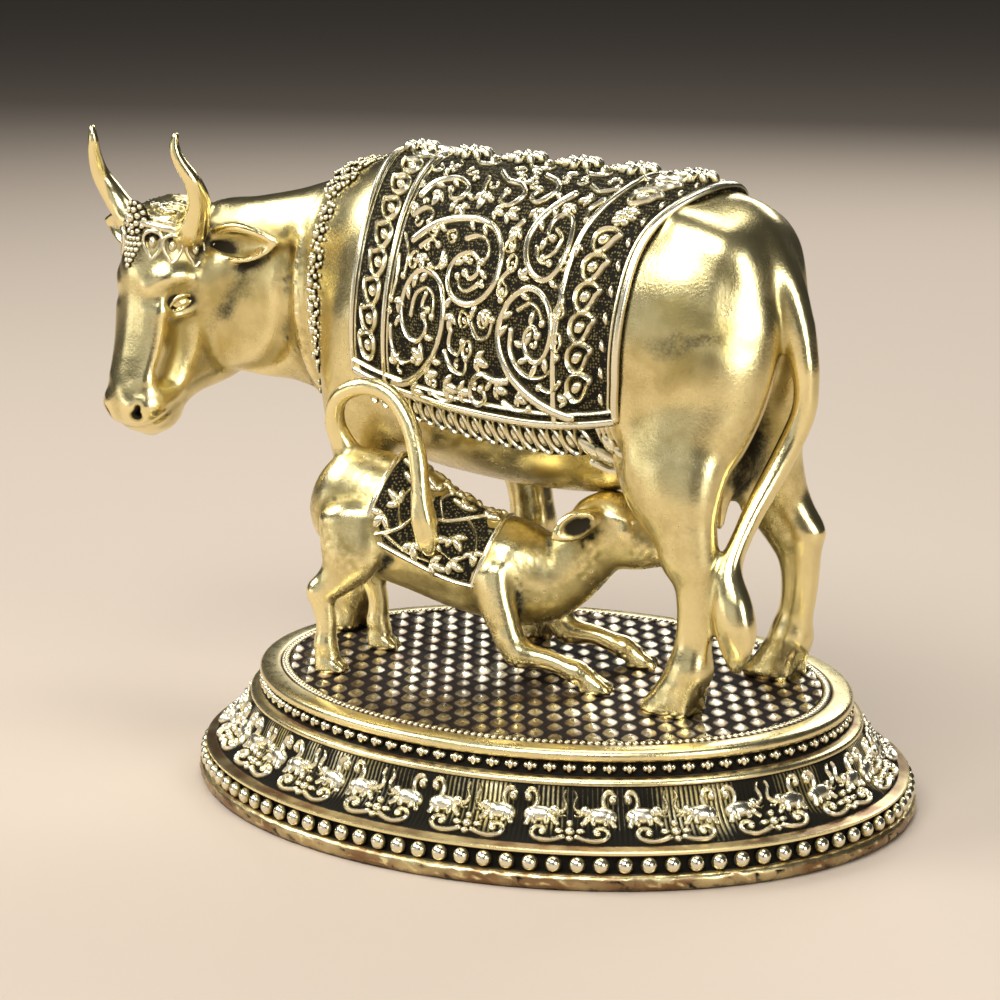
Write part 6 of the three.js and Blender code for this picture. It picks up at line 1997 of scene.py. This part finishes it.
class BRASS_OT_calf(bpy.types.Operator):
    """The suckling calf, worked as one lump"""

    bl_idname = "brass.calf"
    bl_label = "Calf"

    def execute(self, context):
        pitch = settings().calf.body * 1000
        corners = np.array([
            calf_point(s, o, z) for s in (-42, 52) for o in (-19, 20) for z in (-1, 71)
        ])
        clay = Clay(corners.min(0), corners.max(0), pitch)
        work_calf(clay)
        clay.soften(1)
        clay.cut(2, DECK - 0.25, True)

        def rough(points):
            low = np.clip(1 - (points[:, 2] - DECK) / 10, 0, 1)
            patch = np.clip(0.3 + 0.6 * ripple(points, 12, 61), 0, 1)
            pits = np.maximum(low, 0.55 * patch)
            shade = pits * (0.12 * ripple(points, 2.2, 63) - 0.05)
            # painted shade in the ear hollows
            for side in (-1, 1):
                near = away(points, calf_point(25.4, side * 10.0, 37.4), (4.6, 4.0, 3.4))
                shade -= 0.7 * np.clip(1.3 - near, 0, 1)
            return pits * 0.045 * ripple(points, 1.5, 62), shade

        sculpt_piece(clay, "calf_body", "calf_brass", "calf", 1.0, 1.0, rough)
        return {"FINISHED"}


class BRASS_OT_calf_cloth(bpy.types.Operator):
    """The calf's saddle cloth with its ribs, stems and leaf sprays"""

    bl_idname = "brass.calf_cloth"
    bl_label = "Calf's cloth"

    def execute(self, context):
        first, last, low = 1.75, 4.6, 104.0
        long = 27.0
        arc = 0.215
        down = low * arc
        plan = Relief((-0.9, -down - 0.9), (long + 0.9, down + 0.9), 0.5)
        for at in (0.6, long - 0.6):
            plan.stroke([(at, -down), (at, 0), (at, down)], 0.8, 0.9, base=0.3)
        for side in (-1, 1):
            plan.stroke([(0, side * (down - 0.5)), (long / 2, side * (down - 0.5)),
                         (long, side * (down - 0.5))],
                        0.65, 0.8, base=0.3)
            stem = [(3.4, side * 20.6), (7.6, side * 17), (10.4, side * 12.4), (15.4, side * 10),
                    (19.6, side * 5.6), (22.6, side * 1.2)]
            plan.stroke(stem, 0.62, 1.05, 0.8, base=0.3)
            branches = (((8, 16.6), (6, 12.6), (6.4, 8.4)), ((10.6, 12.2), (14.6, 15.6), (19.4, 17.2)),
                        ((15, 10.2), (12.6, 6), (13.4, 1.6)), ((19, 6.4), (22.2, 9.4), (24, 13.4)),
                        ((5, 19.4), (10.6, 20.4), (15.6, 20)))
            for branch in branches:
                plan.stroke([(a, side * b) for a, b in branch], 0.52, 0.95, 0.7, base=0.3)
            sprays = ((6.4, 7.2, 265), (19.6, 17.6, 20), (13.4, 1.2, 270), (23.6, 13.8, 70),
                      (16, 20, 0), (6, 12.6, 200), (14.6, 15.2, 330), (22.4, 3.2, 300),
                      (10.8, 4.4, 220), (18.2, 12.2, 40), (9.4, 9.8, 300), (3.8, 16, 110),
                      (4.6, 3.4, 260), (17.4, 4.2, 250), (11.2, 18, 60))
            for a, b, turn in sprays:
                for lean, share in ((0, 1.0), (58, 0.82), (-58, 0.82)):
                    way = math.radians(turn + lean)
                    spot = (a + 1.9 * share * math.cos(way), side * (b + 1.9 * share * math.sin(way)))
                    plan.leaf(spot, side * (turn + lean), 4.5 * share, 2.1 * share, 1.4, 1.4, 0.2, 0.35)
        x, y = plan.x[:, None], plan.y[None, :]
        edge = np.clip(np.minimum(np.minimum(x + 0.3, long + 0.3 - x), down + 0.3 - np.abs(y)) / 0.4, 0,
                       1)
        height = 0.4 * edge - 0.8 * (1 - edge)
        x, y = np.broadcast_arrays(x, y)

        def place(x, y, lift):
            return calf_cloth_point(first + (last - first) * x / long, y / arc, lift)

        points = place(x, y, height).reshape(-1, 3)
        nx, ny = height.shape
        edge_points = edge_of(nx, ny)
        sunk = place(x, y, height - 2.0).reshape(-1, 3)[edge_points]
        points, faces = lined(points, grid_faces(nx, ny), edge_points, sunk, calf_point(-11, 0, 30))
        rise = 0.09 + 0.1 * ripple(points, 2.5, 72)[:nx * ny]
        points, faces, rise = together([(points, faces, rise), plan.laid(place)])
        cast("calf_cloth", points, faces, "relief_brass", rise, angle=62)
        return {"FINISHED"}


class BRASS_OT_stage(bpy.types.Operator):
    """Pale floor, soft lamps and the camera"""

    bl_idname = "brass.stage"
    bl_label = "Stage"

    def level_way(self, around, down):
        """The direction that looks from degrees round the figure, and degrees down on it."""
        (c, s), (flat, fall) = turned(around), turned(down)
        return Vector((-s * flat, c * flat, -fall))

    def lamp(self, name, at, aim, wide, high, power):
        """A rectangular lamp that shines at a place."""
        bpy.ops.object.light_add(type="AREA", location=at)
        lamp = bpy.context.active_object
        lamp.name = name
        lamp.data.shape = "RECTANGLE"
        lamp.data.size, lamp.data.size_y = wide, high
        lamp.data.energy = power
        lamp.rotation_euler = (Vector(aim) - Vector(at)).to_track_quat("-Z", "Y").to_euler()

    def execute(self, context):
        given = settings().stage
        nothing()
        bpy.ops.mesh.primitive_plane_add(size=16, location=(0, 0, 0))
        floor = context.active_object
        floor.name = "floor"
        pale = bpy.data.materials.new("pale_floor")
        pale.use_nodes = True
        shader = next(n for n in pale.node_tree.nodes if n.type == "BSDF_PRINCIPLED")
        shader.inputs["Base Color"].default_value = (*given.floor, 1)
        shader.inputs["Roughness"].default_value = 0.8
        floor.data.materials.append(pale)
        for name, at, wide, high, share in (
            ("key", (0.22, -0.95, 0.98), 1.0, 0.5, 1.0), ("left", (-0.9, -0.5, 0.9), 0.8, 0.6, 0.7),
            ("right", (1.25, -0.35, 0.42), 0.5, 0.55, 0.4), ("fill", (0.0, -1.7, 0.3), 1.8, 0.5, 0.1),
            ("low", (-1.1, -1.22, 0.14), 1.0, 0.35, 0.12), ("top", (0.0, 0.2, 1.4), 0.9, 0.5, 0.4),
            ("back", (-0.5, 1.3, 0.9), 1.2, 0.5, 0.7),
        ):
            self.lamp(name, at, (0, 0, 0.08), wide, high, given.key * share)
        world = bpy.data.worlds.new("studio")
        context.scene.world = world
        world.use_nodes = True
        context.scene.view_settings.view_transform = "Standard"
        ground = next(n for n in world.node_tree.nodes if n.type == "BACKGROUND")
        ground.inputs["Color"].default_value = (0.5, 0.5, 0.5, 1)
        ground.inputs["Strength"].default_value = 0.08
        # the camera was fitted to the photo: where it stands, which way it looks, and how far off it is
        stands = self.level_way(38, 16.802) * -1
        looks = self.level_way(39.025, 11.887)
        bpy.ops.object.camera_add(location=stands * 0.7 + Vector((0, 0, 0.006)))
        camera = context.active_object
        camera.rotation_euler = looks.to_track_quat("-Z", "Y").to_euler()
        camera.data.sensor_width = 36
        camera.data.lens = given.lens
        camera.data.clip_start, camera.data.clip_end = 0.01, 60
        context.scene.camera = camera
        return {"FINISHED"}


class BRASS_OT_finishes(bpy.types.Operator):
    """The finishes of old brass"""

    bl_idname = "brass.finishes"
    bl_label = "Brass finishes"

    def execute(self, context):
        given = settings().finish
        crest, body, hollow, red = (tuple(c) for c in (given.crest, given.body, given.hollow,
                                                       given.red))
        patina_group()
        silver = (0.87, 0.81, 0.60)
        finish("polished_brass", crest, body, (0.03, 0.024, 0.013), 0.24, 0.52, 0.24, 0.14, 0.2, 0.1)
        finish("calf_brass", crest, body, (0.03, 0.024, 0.013), 0.34, 0.58, 0.4, 0.16, 0.24, 0.12)
        finish("relief_brass", silver, body, hollow, 0.4, 0.62, 0.1, 0.1, 0.25, 0.08, 0.4)
        finish("frieze_brass", silver, body, hollow, 0.36, 0.6, 0.12, 0.12, 0.27, 0.08)
        finish("bead_brass", silver, body, hollow, 0.42, 0.66, 0.12, 0.1, 0.22, 0.05)
        finish("plate_brass", silver, (0.25, 0.165, 0.085), (0.022, 0.015, 0.011), 0.36, 0.7, 0.3, 0.16,
               0.24, 0.08)
        # the plinth's flats take the painted red-brown reflection colour
        finish("plinth_brass", crest, red, hollow, 0.3, 0.72, 0.3, 0.22, 0.27, 0.12)
        return {"FINISHED"}


class BRASS_PG_all(bpy.types.PropertyGroup):
    """Settings of the whole figure."""

    finish: PointerProperty(type=BRASS_PG_finish)
    plinth: PointerProperty(type=BRASS_PG_plinth)
    cow: PointerProperty(type=BRASS_PG_cow)
    cloth: PointerProperty(type=BRASS_PG_cloth)
    calf: PointerProperty(type=BRASS_PG_calf)
    stage: PointerProperty(type=BRASS_PG_stage)


STEPS = (
    BRASS_OT_finishes, BRASS_OT_stage, BRASS_OT_plinth_foot, BRASS_OT_plinth_beads, BRASS_OT_frieze,
    BRASS_OT_plate, BRASS_OT_cow_body, BRASS_OT_cow_head, BRASS_OT_cow_eyes, BRASS_OT_headdress,
    BRASS_OT_garland, BRASS_OT_cloth, BRASS_OT_calf, BRASS_OT_calf_cloth,
)


class BRASS_PT_panel(bpy.types.Panel):
    """Builds the brass figure piece by piece"""

    bl_idname = "BRASS_PT_panel"
    bl_label = "Brass cow and calf"
    bl_space_type = "VIEW_3D"
    bl_region_type = "UI"
    bl_category = "Brass"

    def draw(self, context):
        given = context.scene.brass
        for group in (given.finish, given.plinth, given.cow, given.cloth, given.calf, given.stage):
            box = self.layout.box()
            for key in type(group).__annotations__:
                box.prop(group, key)
        for step in STEPS:
            self.layout.operator(step.bl_idname)


CLASSES = (
    BRASS_PG_finish, BRASS_PG_plinth, BRASS_PG_cow, BRASS_PG_cloth, BRASS_PG_calf, BRASS_PG_stage,
    BRASS_PG_all, *STEPS, BRASS_PT_panel,
)


def register():
    for each in CLASSES:
        bpy.utils.register_class(each)
    bpy.types.Scene.brass = PointerProperty(type=BRASS_PG_all)


def unregister():
    del bpy.types.Scene.brass
    for each in reversed(CLASSES):
        bpy.utils.unregister_class(each)


def main():
    register()
    for step in STEPS:
        group, name = step.bl_idname.split(".")
        if getattr(getattr(bpy.ops, group), name)() != {"FINISHED"}:
            raise RuntimeError(f"{step.bl_label} was not built")


if __name__ == "__main__":
    main()
